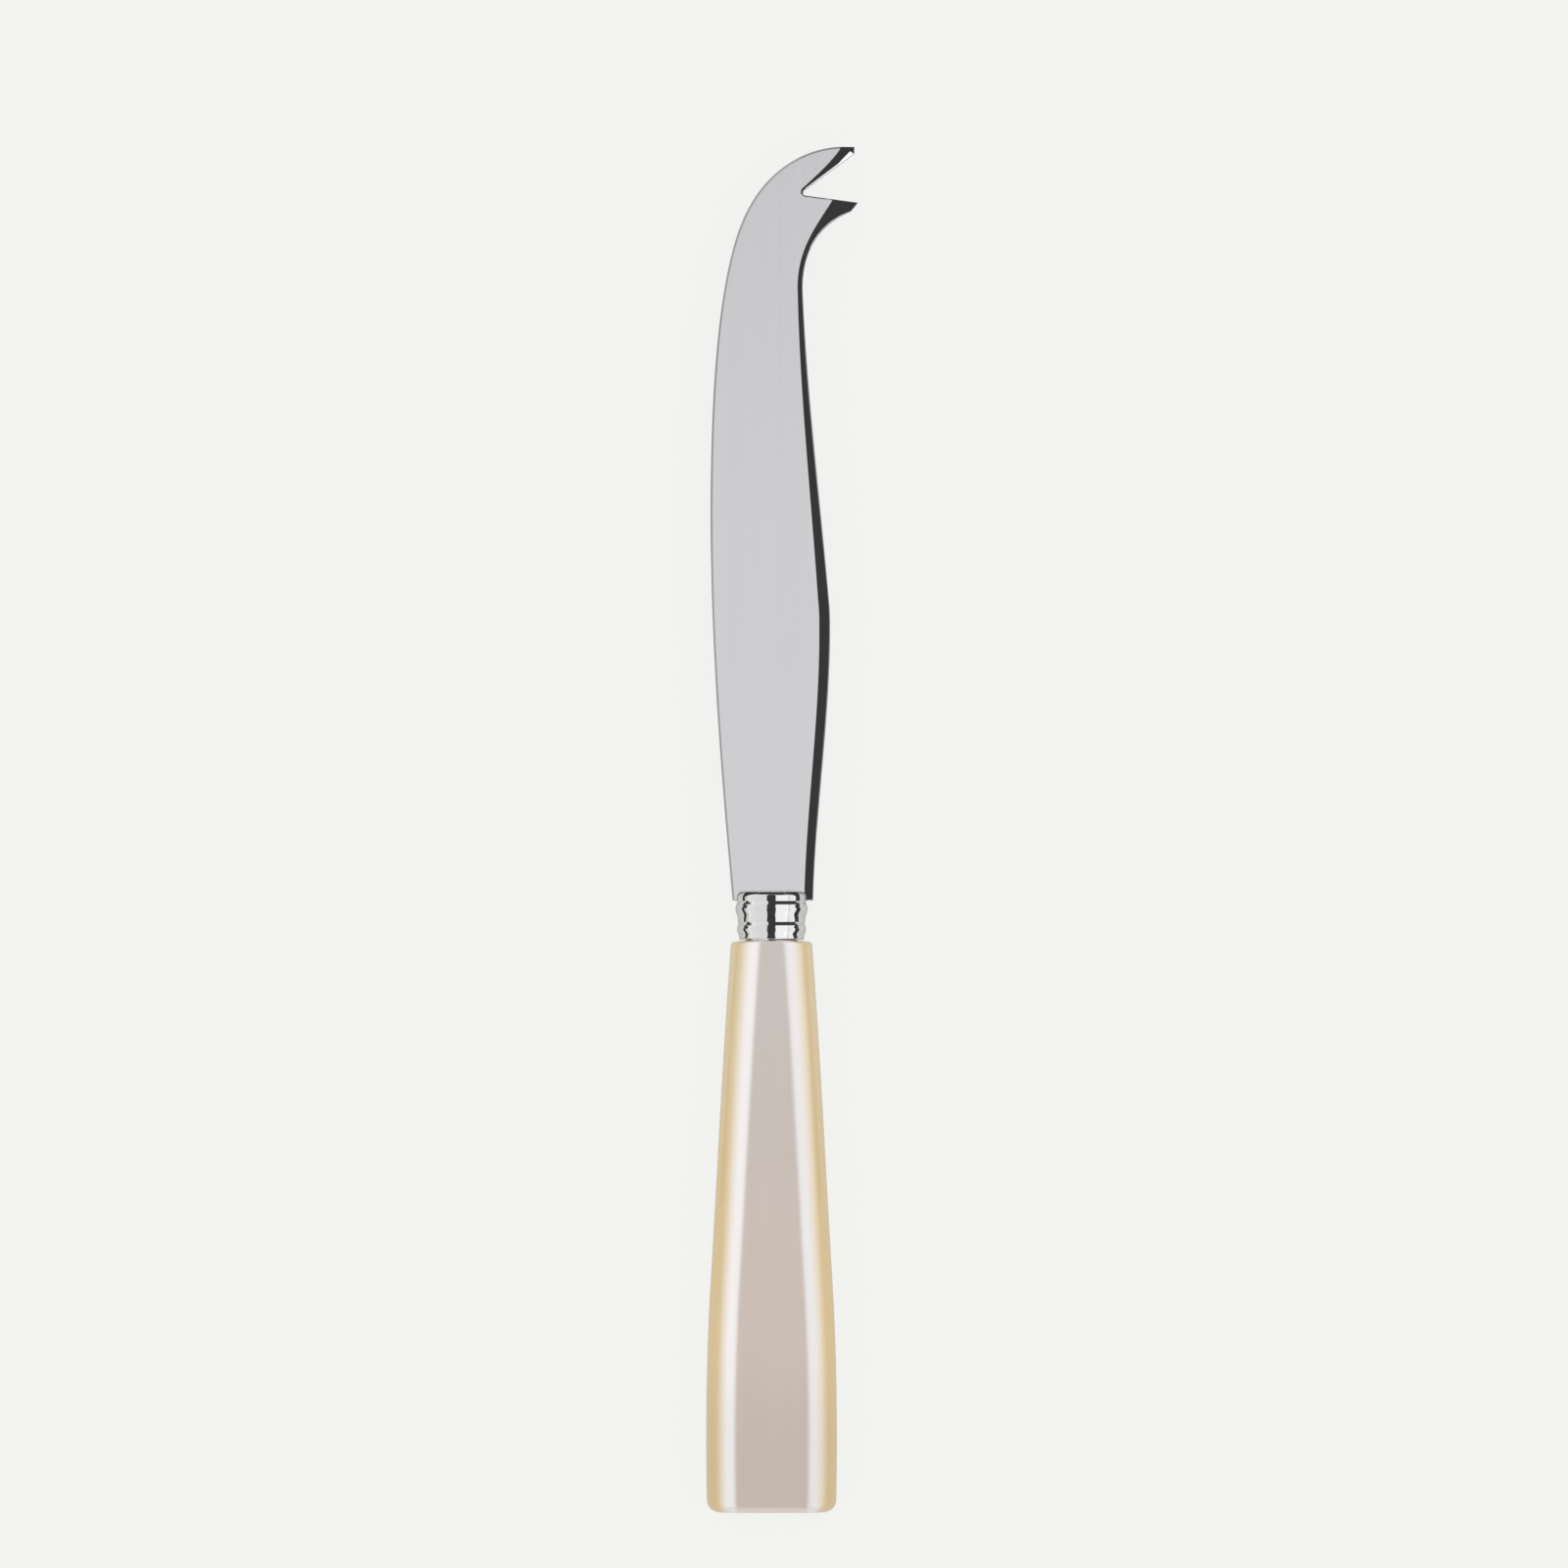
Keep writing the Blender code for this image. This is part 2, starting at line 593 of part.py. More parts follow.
def lower_prong_stretches(rim, root, tip, tip_end, neck):
    """The lower prong's straight top, blunt end and hollow underside."""
    side = (tip - root).normalized()
    face = tip - side * LOWER_FACET_BACK
    corner = face + Vector((side.y, -side.x)) * 2 * EDGE_BREAK
    breaks = (EDGE_BREAK, EDGE_BREAK)
    grinds = (PRONG, PRONG)
    rim.add(line(root, face, SHORT_STEPS), (2 * EDGE_BREAK, 2 * EDGE_BREAK), breaks,
            (BREAK, BREAK))
    rim.add(line(face, tip, SHORT_STEPS), corner, breaks, grinds)
    rim.add(line(tip, tip_end, SHORT_STEPS), corner, (EDGE_BREAK, ROUND_AT_PRONGS), grinds)
    rim.add(bent(tip_end, neck, UNDERSIDE_BEND, LONG_STEPS),
            bent(corner, neck + Vector((0, BAND_AT_NECK)), LOWER_FACET_BEND, LONG_STEPS),
            (ROUND_AT_PRONGS, ROUND_AT_NECK), (PRONG, FACET))


def fork_stretches(rim, prong):
    """Both prongs and the notch between them, down to the neck."""
    tip = Vector((TIP_AT, -UPPER_PRONG_REACH))
    tip_end = tip - Vector((UPPER_PRONG_END, 0))
    low_tip = Vector((TIP_AT - LOWER_PRONG_BEHIND_TIP, -LOWER_PRONG_REACH))
    low_end = low_tip + Vector((-LOWER_PRONG_END, PRONG_UNDERCUT))
    neck = Vector((TIP_AT - NECK_BEHIND_TIP, -NECK_SIDE))
    root = notch_root(tip_end, low_tip)
    upper_prong_stretches(rim, prong, tip, tip_end, root[0])
    rim.add(root, (BAND_AT_NOTCH, 2 * EDGE_BREAK), (ROUND_AT_NOTCH, EDGE_BREAK),
            (PRONG, BREAK))
    lower_prong_stretches(rim, root[-1], low_tip, low_end, neck)
    return neck


def spine_stretches(rim, neck):
    """The ground spine, from the neck over its peak to the heel."""
    peak = Vector((HEEL_AT + SPINE_PEAK_AT, -SPINE_PEAK_SIDE))
    heel = Vector((HEEL_AT, -HEEL_SPINE_SIDE))
    shape = (FACET, FACET)
    before = peak + Vector((1, SPINE_PEAK_SLOPE)) * SPINE_PEAK_ROUNDING
    after = peak - Vector((SPINE_PEAK_ROUNDING, 0))
    third = (neck.x - before.x) / 3
    rim.add(bezier(neck, neck - Vector((1, NECK_SLOPE)) * third,
                   before + Vector((1, SPINE_PEAK_SLOPE)) * third, before, LONG_STEPS),
            (BAND_AT_NECK, BAND_AT_PEAK), (ROUND_AT_NECK, ROUND_AT_PEAK), shape)
    rim.add(bezier(before, peak, peak, after, SHORT_STEPS),
            (BAND_AT_PEAK, BAND_AT_PEAK), (ROUND_AT_PEAK, ROUND_AT_PEAK), shape)
    third = (after.x - heel.x) / 3
    rim.add(bezier(after, after - Vector((third, 0)),
                   heel + Vector((1, -HEEL_SPINE_SLOPE)) * third, heel, LONG_STEPS),
            (BAND_AT_PEAK, BAND_AT_HEEL), (ROUND_AT_PEAK, ROUND_AT_NECK), shape)
    return heel


def heel_stretches(rim, heel):
    """The square end of the heel, which sits on the floor of the ferrule's slot."""
    band_end = heel + Vector((0, BAND_AT_HEEL))
    inner_end = band_end + Vector((2 * EDGE_BREAK, 0))
    edge_end = Vector((HEEL_AT, HEEL_EDGE_SIDE - HEEL_CORNER_RADIUS))
    rim.add(line(heel, band_end, SHORT_STEPS), inner_end, (ROUND_AT_NECK, EDGE_BREAK),
            (FACET, FACET))
    rim.add(line(band_end, edge_end, SHORT_STEPS), (2 * EDGE_BREAK, 2 * EDGE_BREAK),
            (EDGE_BREAK, EDGE_BREAK), (BREAK, BREAK))


def plate_mesh(name, rim):
    """Close the plate between its two faces, the same on both sides of its middle."""
    bm = bmesh.new()
    known = {}

    def vert(point, sign):
        place = (point[0], point[1], sign * point[2])
        key = tuple(round(c / MERGE_DISTANCE) for c in place)
        if key not in known:
            known[key] = bm.verts.new(place)
        return known[key]

    def face(corners):
        kept = [v for i, v in enumerate(corners) if v != corners[i - 1]]
        if len(kept) > 2:
            bm.faces.new(kept)

    inner, crest, outline = rim.rings()
    count = len(outline)
    for sign in (1, -1):
        face([vert(p, sign) for p in inner])
        for near, far in ((inner, crest), (crest, outline)):
            for i in range(count):
                j = (i + 1) % count
                face([vert(near[i], sign), vert(near[j], sign), vert(far[j], sign),
                      vert(far[i], sign)])
    for i in range(count):
        j = (i + 1) % count
        face([vert(outline[i], 1), vert(outline[j], 1), vert(outline[j], -1),
              vert(outline[i], -1)])
    return mesh_from_bmesh(name, bm)


def build_blade(collection, cutters, material):
    """The blade in one piece with its tang."""
    rim = Rim()
    prong = edge_stretches(rim)
    neck = fork_stretches(rim, prong)
    heel = spine_stretches(rim, neck)
    heel_stretches(rim, heel)
    blade = add_object("blade", plate_mesh("blade", rim), collection, material)
    boolean(blade, tang_solid("tang", 0.0, HEEL_AT + TANG_ROOT, cutters), "UNION")
    smooth_by_angle(blade, BLADE_SHARP)
    return blade


def main():
    """Build the knife."""
    clear_scene()
    knife = make_collection("cheese_knife")
    cutters = make_collection("cutters")
    add_joint_empty(knife)
    steel = make_material("polished_steel", (0.75, 0.75, 0.76), 0.18, 1.0)
    bright_steel = make_material("bright_steel", (0.80, 0.79, 0.79), 0.08, 1.0)
    pearl = make_material("pearl_acrylic", (0.78, 0.70, 0.63), 0.22, 0.0)
    build_blade(knife, cutters, steel)
    build_ferrule(knife, cutters, bright_steel)
    build_handle(knife, cutters, pearl)


main()
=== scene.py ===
"""Looks of a forked cheese knife: ground steel blade, turned ferrule and pearl handle.

Every piece is modelled from the joint, where the knife's axis crosses the handle's
front face: +X runs to the blade's tip, +Y to the cutting edge and +Z up.
"""

import logging
import math
from collections.abc import Iterable, Sequence
from dataclasses import dataclass, field
from enum import Enum
from typing import Any

import bmesh
import bpy
from bpy.types import Material, Mesh, Node, NodeSocket as Socket, NodeTree, Object
from mathutils import Matrix, Vector
from mathutils.geometry import interpolate_bezier


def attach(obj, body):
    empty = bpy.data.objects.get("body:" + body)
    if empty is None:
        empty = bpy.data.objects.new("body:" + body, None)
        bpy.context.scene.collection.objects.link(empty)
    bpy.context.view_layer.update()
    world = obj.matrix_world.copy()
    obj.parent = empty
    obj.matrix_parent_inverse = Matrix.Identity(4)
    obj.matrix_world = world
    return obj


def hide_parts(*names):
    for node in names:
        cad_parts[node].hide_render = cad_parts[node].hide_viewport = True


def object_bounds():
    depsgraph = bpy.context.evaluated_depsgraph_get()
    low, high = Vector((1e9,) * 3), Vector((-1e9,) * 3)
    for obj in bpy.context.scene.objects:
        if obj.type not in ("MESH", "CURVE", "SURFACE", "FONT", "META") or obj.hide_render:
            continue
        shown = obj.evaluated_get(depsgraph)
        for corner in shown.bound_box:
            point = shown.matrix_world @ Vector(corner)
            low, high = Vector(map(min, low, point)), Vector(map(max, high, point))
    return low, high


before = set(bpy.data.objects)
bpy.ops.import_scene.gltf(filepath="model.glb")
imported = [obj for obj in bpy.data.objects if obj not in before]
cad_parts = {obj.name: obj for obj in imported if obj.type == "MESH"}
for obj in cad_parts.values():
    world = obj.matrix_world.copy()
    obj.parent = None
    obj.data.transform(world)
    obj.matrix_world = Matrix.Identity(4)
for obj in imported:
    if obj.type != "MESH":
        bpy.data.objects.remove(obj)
CAD_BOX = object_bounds()

LOG = logging.getLogger("cheese_knife")
MM = 0.001
MERGE_DISTANCE = 0.0005 * MM
BODY = "root"

Colour = tuple[float, float, float]
Pair = tuple[float, float]


class Tree:
    """A node tree under construction."""

    def __init__(self, tree: NodeTree) -> None:
        """Start from a tree's nodes and links.

        Args:
            tree: the node tree of a group, a material or the world.
        """
        self.tree = tree
        self.inside: Node | None = None

    def socket(self, name: str, kind: str, out: bool = False, default: Any = None) -> None:
        """Add a socket to the group's interface.

        Args:
            name: the socket's label.
            kind: its type without the NodeSocket prefix.
            out: whether it is an output.
            default: its value where nothing is set.
        """
        item = self.tree.interface.new_socket(
            name=name, in_out="OUTPUT" if out else "INPUT", socket_type="NodeSocket" + kind)
        if default is not None:
            item.default_value = default

    def given(self, name: str) -> Socket:
        """Return the group's input of that name."""
        if self.inside is None:
            self.inside = self.tree.nodes.new("NodeGroupInput")
        return self.inside.outputs[name]

    def add(self, kind: str, inputs: dict[str | int, Any] | None = None,
            **settings: Any) -> Node:
        """Add a node.

        Args:
            kind: the node's class name.
            inputs: sockets or plain values for its inputs, by name or number.
            settings: the node's own properties.

        Returns:
            The new node.
        """
        node = self.tree.nodes.new(kind)
        for name, value in settings.items():
            setattr(node, name, value)
        for name, value in (inputs or {}).items():
            self.put(value, node.inputs[name])
        return node

    def put(self, value: Any, target: Socket) -> None:
        """Link a socket to an input, or set the input's own value."""
        if isinstance(value, Socket):
            self.tree.links.new(value, target)
        else:
            target.default_value = value

    def math(self, operation: str, *values: Any, clamp: bool = False) -> Socket:
        """Add a Math node.

        Args:
            operation: what it does.
            values: its operands, sockets or numbers.
            clamp: whether the result stays from 0 to 1.

        Returns:
            The result.
        """
        node = self.add("ShaderNodeMath", dict(enumerate(values)), operation=operation,
                        use_clamp=clamp)
        return node.outputs[0]

    def times(self, first: Any, *others: Any) -> Socket:
        """Return the product of two or more values."""
        for other in others:
            first = self.math("MULTIPLY", first, other)
        return first

    def parts(self, vector: Socket) -> Any:
        """Return the outputs X, Y and Z of a vector."""
        return self.add("ShaderNodeSeparateXYZ", {0: vector}).outputs

    def coordinate(self, name: str) -> Socket:
        """Return the texture coordinate of that name."""
        return self.add("ShaderNodeTexCoord").outputs[name]

    def ramp(self, value: Socket, start: float, end: float, low: float = 0.0,
             high: float = 1.0) -> Socket:
        """Carry a value smoothly from one range to another.

        Args:
            value: what is carried over.
            start: where the result is low.
            end: where the result is high.
            low: the result at start.
            high: the result at end.

        Returns:
            The result.
        """
        node = self.add("ShaderNodeMapRange", {0: value, 1: start, 2: end, 3: low, 4: high},
                        interpolation_type="SMOOTHSTEP")
        return node.outputs[0]

    def mix(self, share: Socket, first: Any, second: Any) -> Socket:
        """Mix two colours.

        Args:
            share: how much of the second there is.
            first: a colour or a socket.
            second: a colour or a socket.

        Returns:
            The mixed colour.
        """
        first, second = (rgba(c) if isinstance(c, tuple) else c for c in (first, second))
        node = self.add("ShaderNodeMix", {0: share, 6: first, 7: second}, data_type="RGBA")
        return node.outputs[2]


def rgba(colour: Colour) -> tuple[float, float, float, float]:
    """Return a colour with full alpha."""
    return (*colour, 1.0)


def new_group(name: str, kind: str) -> Tree:
    """Return a new node group of a kind, Shader or Geometry, ready to be filled."""
    return Tree(bpy.data.node_groups.new(name, kind + "NodeTree"))


def turned_tree() -> NodeTree:
    """Make the tree that turns a profile about the knife's axis.

    Returns:
        A geometry tree. The profile's points hold distance in X and radius in Y.
    """
    t = new_group("turned_piece", "Geometry")
    t.socket("Profile", "Geometry")
    t.socket("Turn Steps", "Int", default=64)
    t.socket("Merge Distance", "Float", default=MERGE_DISTANCE)
    t.socket("Finish", "Material")
    t.socket("Mesh", "Geometry", out=True)
    grid = StationGrid(t, t.given("Profile"), t.given("Turn Steps"))
    distance, radius, _ = grid.place()
    turn = t.math("DIVIDE", t.times(grid.column, math.tau), t.given("Turn Steps"))
    finish_tree(t, grid.mesh, distance, t.times(radius, t.math("COSINE", turn)),
                t.times(radius, t.math("SINE", turn)))
    return t.tree


def bar_tree() -> NodeTree:
    """Make the tree that skins a bar of rectangles with round corners.

    Returns:
        A geometry tree. Each station holds its distance in X, its half width in Y and
        how far it is drawn in from the bar's outside in Z. Its attribute open is 0
        where a station closes the bar to a point, and its attribute bulge is how far
        the station's middle stands out along the bar.
    """
    t = new_group("rounded_bar", "Geometry")
    t.socket("Stations", "Geometry")
    t.socket("Thickness", "Float", default=14.0 * MM)
    t.socket("Corner Radius", "Float", default=6.0 * MM)
    t.socket("Corner Steps", "Int", default=16)
    t.socket("Merge Distance", "Float", default=MERGE_DISTANCE)
    t.socket("Finish", "Material")
    t.socket("Mesh", "Geometry", out=True)
    steps = t.given("Corner Steps")
    side = t.math("ADD", steps, 1.0)
    count = t.times(side, 4.0)
    grid = StationGrid(t, t.given("Stations"), count)
    distance, half_width, inset = grid.place()
    corner = t.math("MODULO", grid.column, count)
    quarter = t.math("FLOOR", t.math("DIVIDE", corner, side))
    step = t.math("MODULO", corner, side)
    turn = t.times(t.math("ADD", quarter, t.math("DIVIDE", step, steps)), math.pi / 2)
    middle = t.times(t.math("ADD", quarter, 0.5), math.pi / 2)
    half_height = t.times(t.given("Thickness"), 0.5)
    outer_radius = t.math("MINIMUM", t.given("Corner Radius"),
                          t.math("MINIMUM", half_height, half_width))
    radius = t.math("SUBTRACT", outer_radius, inset)
    sides = []
    for half, wave in ((half_width, "COSINE"), (half_height, "SINE")):
        flat = t.math("SUBTRACT", half, outer_radius)
        sign = t.math("SIGN", t.math(wave, middle))
        sides.append(t.math("ADD", t.times(sign, flat), t.times(radius, t.math(wave, turn))))
    is_open, bulge = (grid.named(name) for name in ("open", "bulge"))
    across, up = (t.times(s, is_open) for s in sides)
    share = t.math("POWER", t.math("ABSOLUTE", t.math("DIVIDE", across, half_width)), 2.0)
    crown = t.times(bulge, t.math("SUBTRACT", 1.0, share))
    finish_tree(t, grid.mesh, t.math("ADD", distance, crown), across, up)
    return t.tree


@dataclass
class StationGrid:
    """A flat grid with one row of points for each station of a line."""

    t: Tree
    stations: Socket
    around: Socket

    def __post_init__(self) -> None:
        """Lay out the grid, with its first column repeated at the end of each row."""
        t = self.t
        size = t.add("GeometryNodeAttributeDomainSize", {0: self.stations}, component="MESH")
        closed = t.math("ADD", self.around, 1.0)
        grid = t.add("GeometryNodeMeshGrid",
                     {"Vertices X": size.outputs["Point Count"], "Vertices Y": closed})
        index = t.add("GeometryNodeInputIndex").outputs[0]
        self.mesh = grid.outputs["Mesh"]
        self.row = t.math("FLOOR", t.math("DIVIDE", t.math("ADD", index, 0.5), closed))
        self.column = t.math("SUBTRACT", index, t.times(self.row, closed))

    def sample(self, value: Socket, kind: str) -> Socket:
        """Return what a value of a kind, FLOAT or FLOAT_VECTOR, is at each point's station."""
        node = self.t.add("GeometryNodeSampleIndex", {0: self.stations, 1: value, 2: self.row},
                          data_type=kind, domain="POINT", clamp=True)
        return node.outputs[0]

    def named(self, name: str) -> Socket:
        """Return what a named number is at each point's station."""
        value = self.t.add("GeometryNodeInputNamedAttribute", {0: name}, data_type="FLOAT")
        return self.sample(value.outputs[0], "FLOAT")

    def place(self) -> tuple[Socket, Socket, Socket]:
        """Return the three parts of each point's station position."""
        position = self.t.add("GeometryNodeInputPosition").outputs[0]
        x, y, z = self.t.parts(self.sample(position, "FLOAT_VECTOR"))
        return x, y, z


def finish_tree(t: Tree, grid: Socket, x: Socket, y: Socket, z: Socket) -> None:
    """Place the grid's points, close the seam and give the mesh its finish."""
    place = t.add("ShaderNodeCombineXYZ", {0: x, 1: y, 2: z})
    moved = t.add("GeometryNodeSetPosition", {"Geometry": grid, "Position": place.outputs[0]})
    merged = t.add("GeometryNodeMergeByDistance",
                   {"Geometry": moved.outputs[0], "Distance": t.given("Merge Distance")})
    real = t.add("GeometryNodeRealizeInstances", {"Geometry": merged.outputs[0]})
    dressed = t.add("GeometryNodeSetMaterial",
                    {"Geometry": real.outputs[0], "Material": t.given("Finish")})
    t.add("NodeGroupOutput", {0: dressed.outputs[0]})


def run_tree(name: str, source: Mesh, tree: NodeTree,
             values: dict[str, Any]) -> Mesh:
    """Run a geometry tree and keep its result as a plain mesh.

    Args:
        name: the result's name.
        source: the mesh that the tree starts from.
        tree: the geometry tree.
        values: the tree's inputs by name.

    Returns:
        The mesh, with its faces pointing out.
    """
    holder = add_object(name + "_source", source)
    modifier = holder.modifiers.new(tree.name, "NODES")
    modifier.node_group = tree
    for item in tree.interface.items_tree:
        if item.name in values:
            modifier[item.identifier] = values[item.name]
    mesh = evaluated(name, holder)
    bpy.data.objects.remove(holder)
    bm = bmesh.new()
    bm.from_mesh(mesh)
    bmesh.ops.dissolve_degenerate(bm, edges=bm.edges, dist=MERGE_DISTANCE)
    bmesh.ops.recalc_face_normals(bm, faces=bm.faces)
    bm.to_mesh(mesh)
    bm.free()
    return mesh


def add_object(name: str, data: bpy.types.ID | None) -> Object:
    """Link a new object to the scene."""
    obj = bpy.data.objects.new(name, data)
    bpy.context.scene.collection.objects.link(obj)
    return obj


def evaluated(name: str, obj: Object) -> Mesh:
    """Return an object's mesh with its modifiers applied, and clear them."""
    bpy.context.view_layer.update()
    graph = bpy.context.evaluated_depsgraph_get()
    mesh = bpy.data.meshes.new_from_object(obj.evaluated_get(graph))
    mesh.name = name
    obj.modifiers.clear()
    return mesh


def line_mesh(name: str, points: Sequence[Sequence[float]]) -> Mesh:
    """Make a mesh of loose points in a row."""
    mesh = bpy.data.meshes.new(name)
    mesh.from_pydata([tuple(p) for p in points], [(i, i + 1) for i in range(len(points) - 1)], [])
    return mesh


def keep(name: str, bm: bmesh.types.BMesh) -> Mesh:
    """Return a working mesh as a plain one, and free it."""
    mesh = bpy.data.meshes.new(name)
    bm.to_mesh(mesh)
    bm.free()
    return mesh


def prism(name: str, outline: Sequence[Sequence[float]], half_height: float) -> Mesh:
    """Make a plate of even thickness about the knife's middle plane.

    Args:
        name: the mesh's name.
        outline: its corners as (distance, side).
        half_height: half its thickness.

    Returns:
        The closed mesh.
    """
    bm = bmesh.new()
    rows = [[bm.verts.new((*p, z)) for p in outline] for z in (-half_height, half_height)]
    for row in rows:
        bm.faces.new(row)
    for i in range(len(outline)):
        bm.faces.new((rows[0][i - 1], rows[0][i], rows[1][i], rows[1][i - 1]))
    bmesh.ops.recalc_face_normals(bm, faces=bm.faces)
    return keep(name, bm)


def cut(name: str, mesh: Mesh,
        tools: Iterable[tuple[str, Mesh]]) -> Mesh:
    """Join solids to a mesh or take them away from it, in order.

    Args:
        name: the result's name.
        mesh: the mesh that is worked on.
        tools: pairs of a Boolean operation and its solid.

    Returns:
        The result.
    """
    target = add_object(name + "_blank", mesh)
    helpers = []
    for operation, solid in tools:
        helper = add_object(solid.name, solid)
        modifier = target.modifiers.new(solid.name, "BOOLEAN")
        modifier.operation = operation
        modifier.solver = "EXACT"
        modifier.object = helper
        helpers.append(helper)
    result = evaluated(name, target)
    for obj in (target, *helpers):
        bpy.data.objects.remove(obj)
    return result


def blend(first: float, last: float, share: float) -> float:
    """Return a value between two others."""
    return first + (last - first) * share


def ends(value: Any) -> tuple[Any, Any]:
    """Return what a stretch has at its two ends, from a pair or one shared value."""
    return value if isinstance(value, tuple) else (value, value)


def curve(start: Vector, first: Vector, second: Vector, end: Vector, steps: int) -> list[Vector]:
    """Return points along one cubic curve, both ends included."""
    corners = [Vector((*p, 0.0)) for p in (start, first, second, end)]
    return [p.to_2d() for p in interpolate_bezier(*corners, steps + 1)]


def bent(start: Vector, end: Vector, pulls: tuple[Pair, Pair], steps: int) -> list[Vector]:
    """Return points along a curve whose handles are shares of the run between its ends."""
    run = end - start
    first, second = (Vector((run.x * along, run.y * across)) for along, across in pulls)
    return curve(start, start + first, end - second, end, steps)


def sloped(start: Vector, end: Vector, slopes: Pair, steps: int,
           reaches: Pair = (1 / 3, 1 / 3)) -> list[Vector]:
    """Return points along a curve that starts and ends at given slopes.

    Args:
        start: its first point.
        end: its last point.
        slopes: its rise for each step along the knife, at both ends.
        steps: how many steps it takes.
        reaches: how far its handles reach, as shares of the run.

    Returns:
        The points, both ends included.
    """
    run = end.x - start.x
    first, second = (Vector((1, slope)) * run * reach for slope, reach in zip(slopes, reaches))
    return curve(start, start + first, end - second, end, steps)


def line(start: Vector, end: Vector, steps: int) -> list[Vector]:
    """Return points along a straight line, both ends included."""
    return [start.lerp(end, i / steps) for i in range(steps + 1)]


class Slot(Enum):
    """Names of the pieces' material slots."""

    BLADE = "blade_steel"
    FERRULE = "ferrule_steel"
    HANDLE = "handle_pearl"


@dataclass
class Knife:
    """What the three pieces share: the joint's place and the sizes that they fit by."""

    handle_length: float = 104.6 * MM
    thickness: float = 14.4 * MM
    seat_gap: float = 0.05 * MM
    bore_radius: float = 5.16 * MM
    bore_depth: float = 6.03 * MM
    spigot_radius: float = 4.86 * MM
    cap_top: float = 9.3 * MM
    heel_at: float = 7.63 * MM
    tang_thickness: float = 1.6 * MM
    tang_end_width: float = 4.6 * MM
    tang_end_from_butt: float = 24.0 * MM
    tang_clearance: float = 0.3 * MM
    spigot_wall: float = 0.95 * MM
    tang_root: float = 0.7 * MM
    tang_end_steps: int = 24

    def place(self) -> Matrix:
        """Return the joint's place in the row frame."""
        return Matrix.Translation((self.handle_length / 2, 0.0, self.thickness / 2))

    def tang(self, name: str, clearance: float, front: float) -> Mesh:
        """Make the tang, or the room that it needs.

        Args:
            name: the mesh's name.
            clearance: how far the solid is grown on all sides.
            front: where it ends towards the blade.

        Returns:
            The closed mesh.
        """
        half_height = self.tang_thickness / 2 + self.tang_clearance
        pocket = math.sqrt((self.spigot_radius - self.spigot_wall) ** 2 - half_height ** 2)
        half_root = pocket - self.tang_clearance + clearance
        half_end = self.tang_end_width / 2 + clearance
        tail = self.tang_end_from_butt + self.tang_end_width / 2 - self.handle_length
        outline = [(front, half_root), (0.0, half_root)]
        for step in range(self.tang_end_steps + 1):
            turn = math.pi * (0.5 + step / self.tang_end_steps)
            outline.append((tail + half_end * math.cos(turn), half_end * math.sin(turn)))
        outline += [(0.0, -half_root), (front, -half_root)]
        return prism(name, outline, self.tang_thickness / 2 + clearance)

    def mount(self, name: str, mesh: Mesh, finish: Material,
              sharp: float, node: str, slot: Slot) -> Object:
        """Put a finished mesh on the knife.

        Args:
            name: the piece's name.
            mesh: its mesh, modelled from the joint.
            finish: its material.
            sharp: the angle in degrees past which an edge is drawn sharp.
            node: the solid that it stands for.
            slot: the material slot's name; not used.

        Returns:
            The piece.
        """
        mesh.transform(self.place())
        mesh.materials.clear()
        mesh.materials.append(finish)
        mesh.polygons.foreach_set("material_index", [0] * len(mesh.polygons))
        mesh.shade_smooth()
        mesh.set_sharp_from_angle(angle=math.radians(sharp))
        piece = add_object(name, mesh)
        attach(piece, BODY)
        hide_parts(node)
        LOG.info("%s stands for %s with %d faces", name, node, len(mesh.polygons))
        return piece


def fine_lines_group() -> NodeTree:
    """Make the group for fine lines that run one way, such as polish marks and fibres.

    Returns:
        A shader tree with one output, a value about 0.5.
    """
    t = new_group("fine_lines", "Shader")
    t.socket("Along", "Float", default=10.0)
    t.socket("Across", "Float", default=500.0)
    t.socket("Detail", "Float", default=3.0)
    t.socket("Lines", "Float", out=True)
    place = t.coordinate("Object")
    across = t.given("Across")
    scale = t.add("ShaderNodeCombineXYZ", {0: t.given("Along"), 1: across, 2: across}).outputs[0]
    scaled = t.add("ShaderNodeVectorMath", {0: place, 1: scale}, operation="MULTIPLY").outputs[0]
    noise = t.add("ShaderNodeTexNoise",
                  {"Vector": scaled, "Scale": 1.0, "Detail": t.given("Detail")})
    t.add("NodeGroupOutput", {0: noise.outputs[0]})
    return t.tree


@dataclass
class Textures:
    """The shader groups that more than one finish uses, each built once."""

    fine_lines: NodeTree = field(default_factory=fine_lines_group)

    def lines(self, t: Tree, along: float, across: float, detail: float) -> Socket:
        """Place the fine lines in a material.

        Args:
            t: the material's tree.
            along: how often they change along the knife, per metre.
            across: how often they change across it, per metre.
            detail: how many finer layers they have.

        Returns:
            A value about 0.5.
        """
        node = t.add("ShaderNodeGroup", node_tree=self.fine_lines)
        for name, value in (("Along", along), ("Across", across), ("Detail", detail)):
            node.inputs[name].default_value = value
        return node.outputs[0]


def new_material(name: str, colour: Colour) -> tuple[Material, Tree, Node]:
    """Start a material.

    Args:
        name: its name.
        colour: its colour in a plain view.

    Returns:
        The material, its tree and its principled shader.
    """
    material = bpy.data.materials.new(name)
    material.use_nodes = True
    material.diffuse_color = rgba(colour)
    return material, Tree(material.node_tree), material.node_tree.nodes["Principled BSDF"]


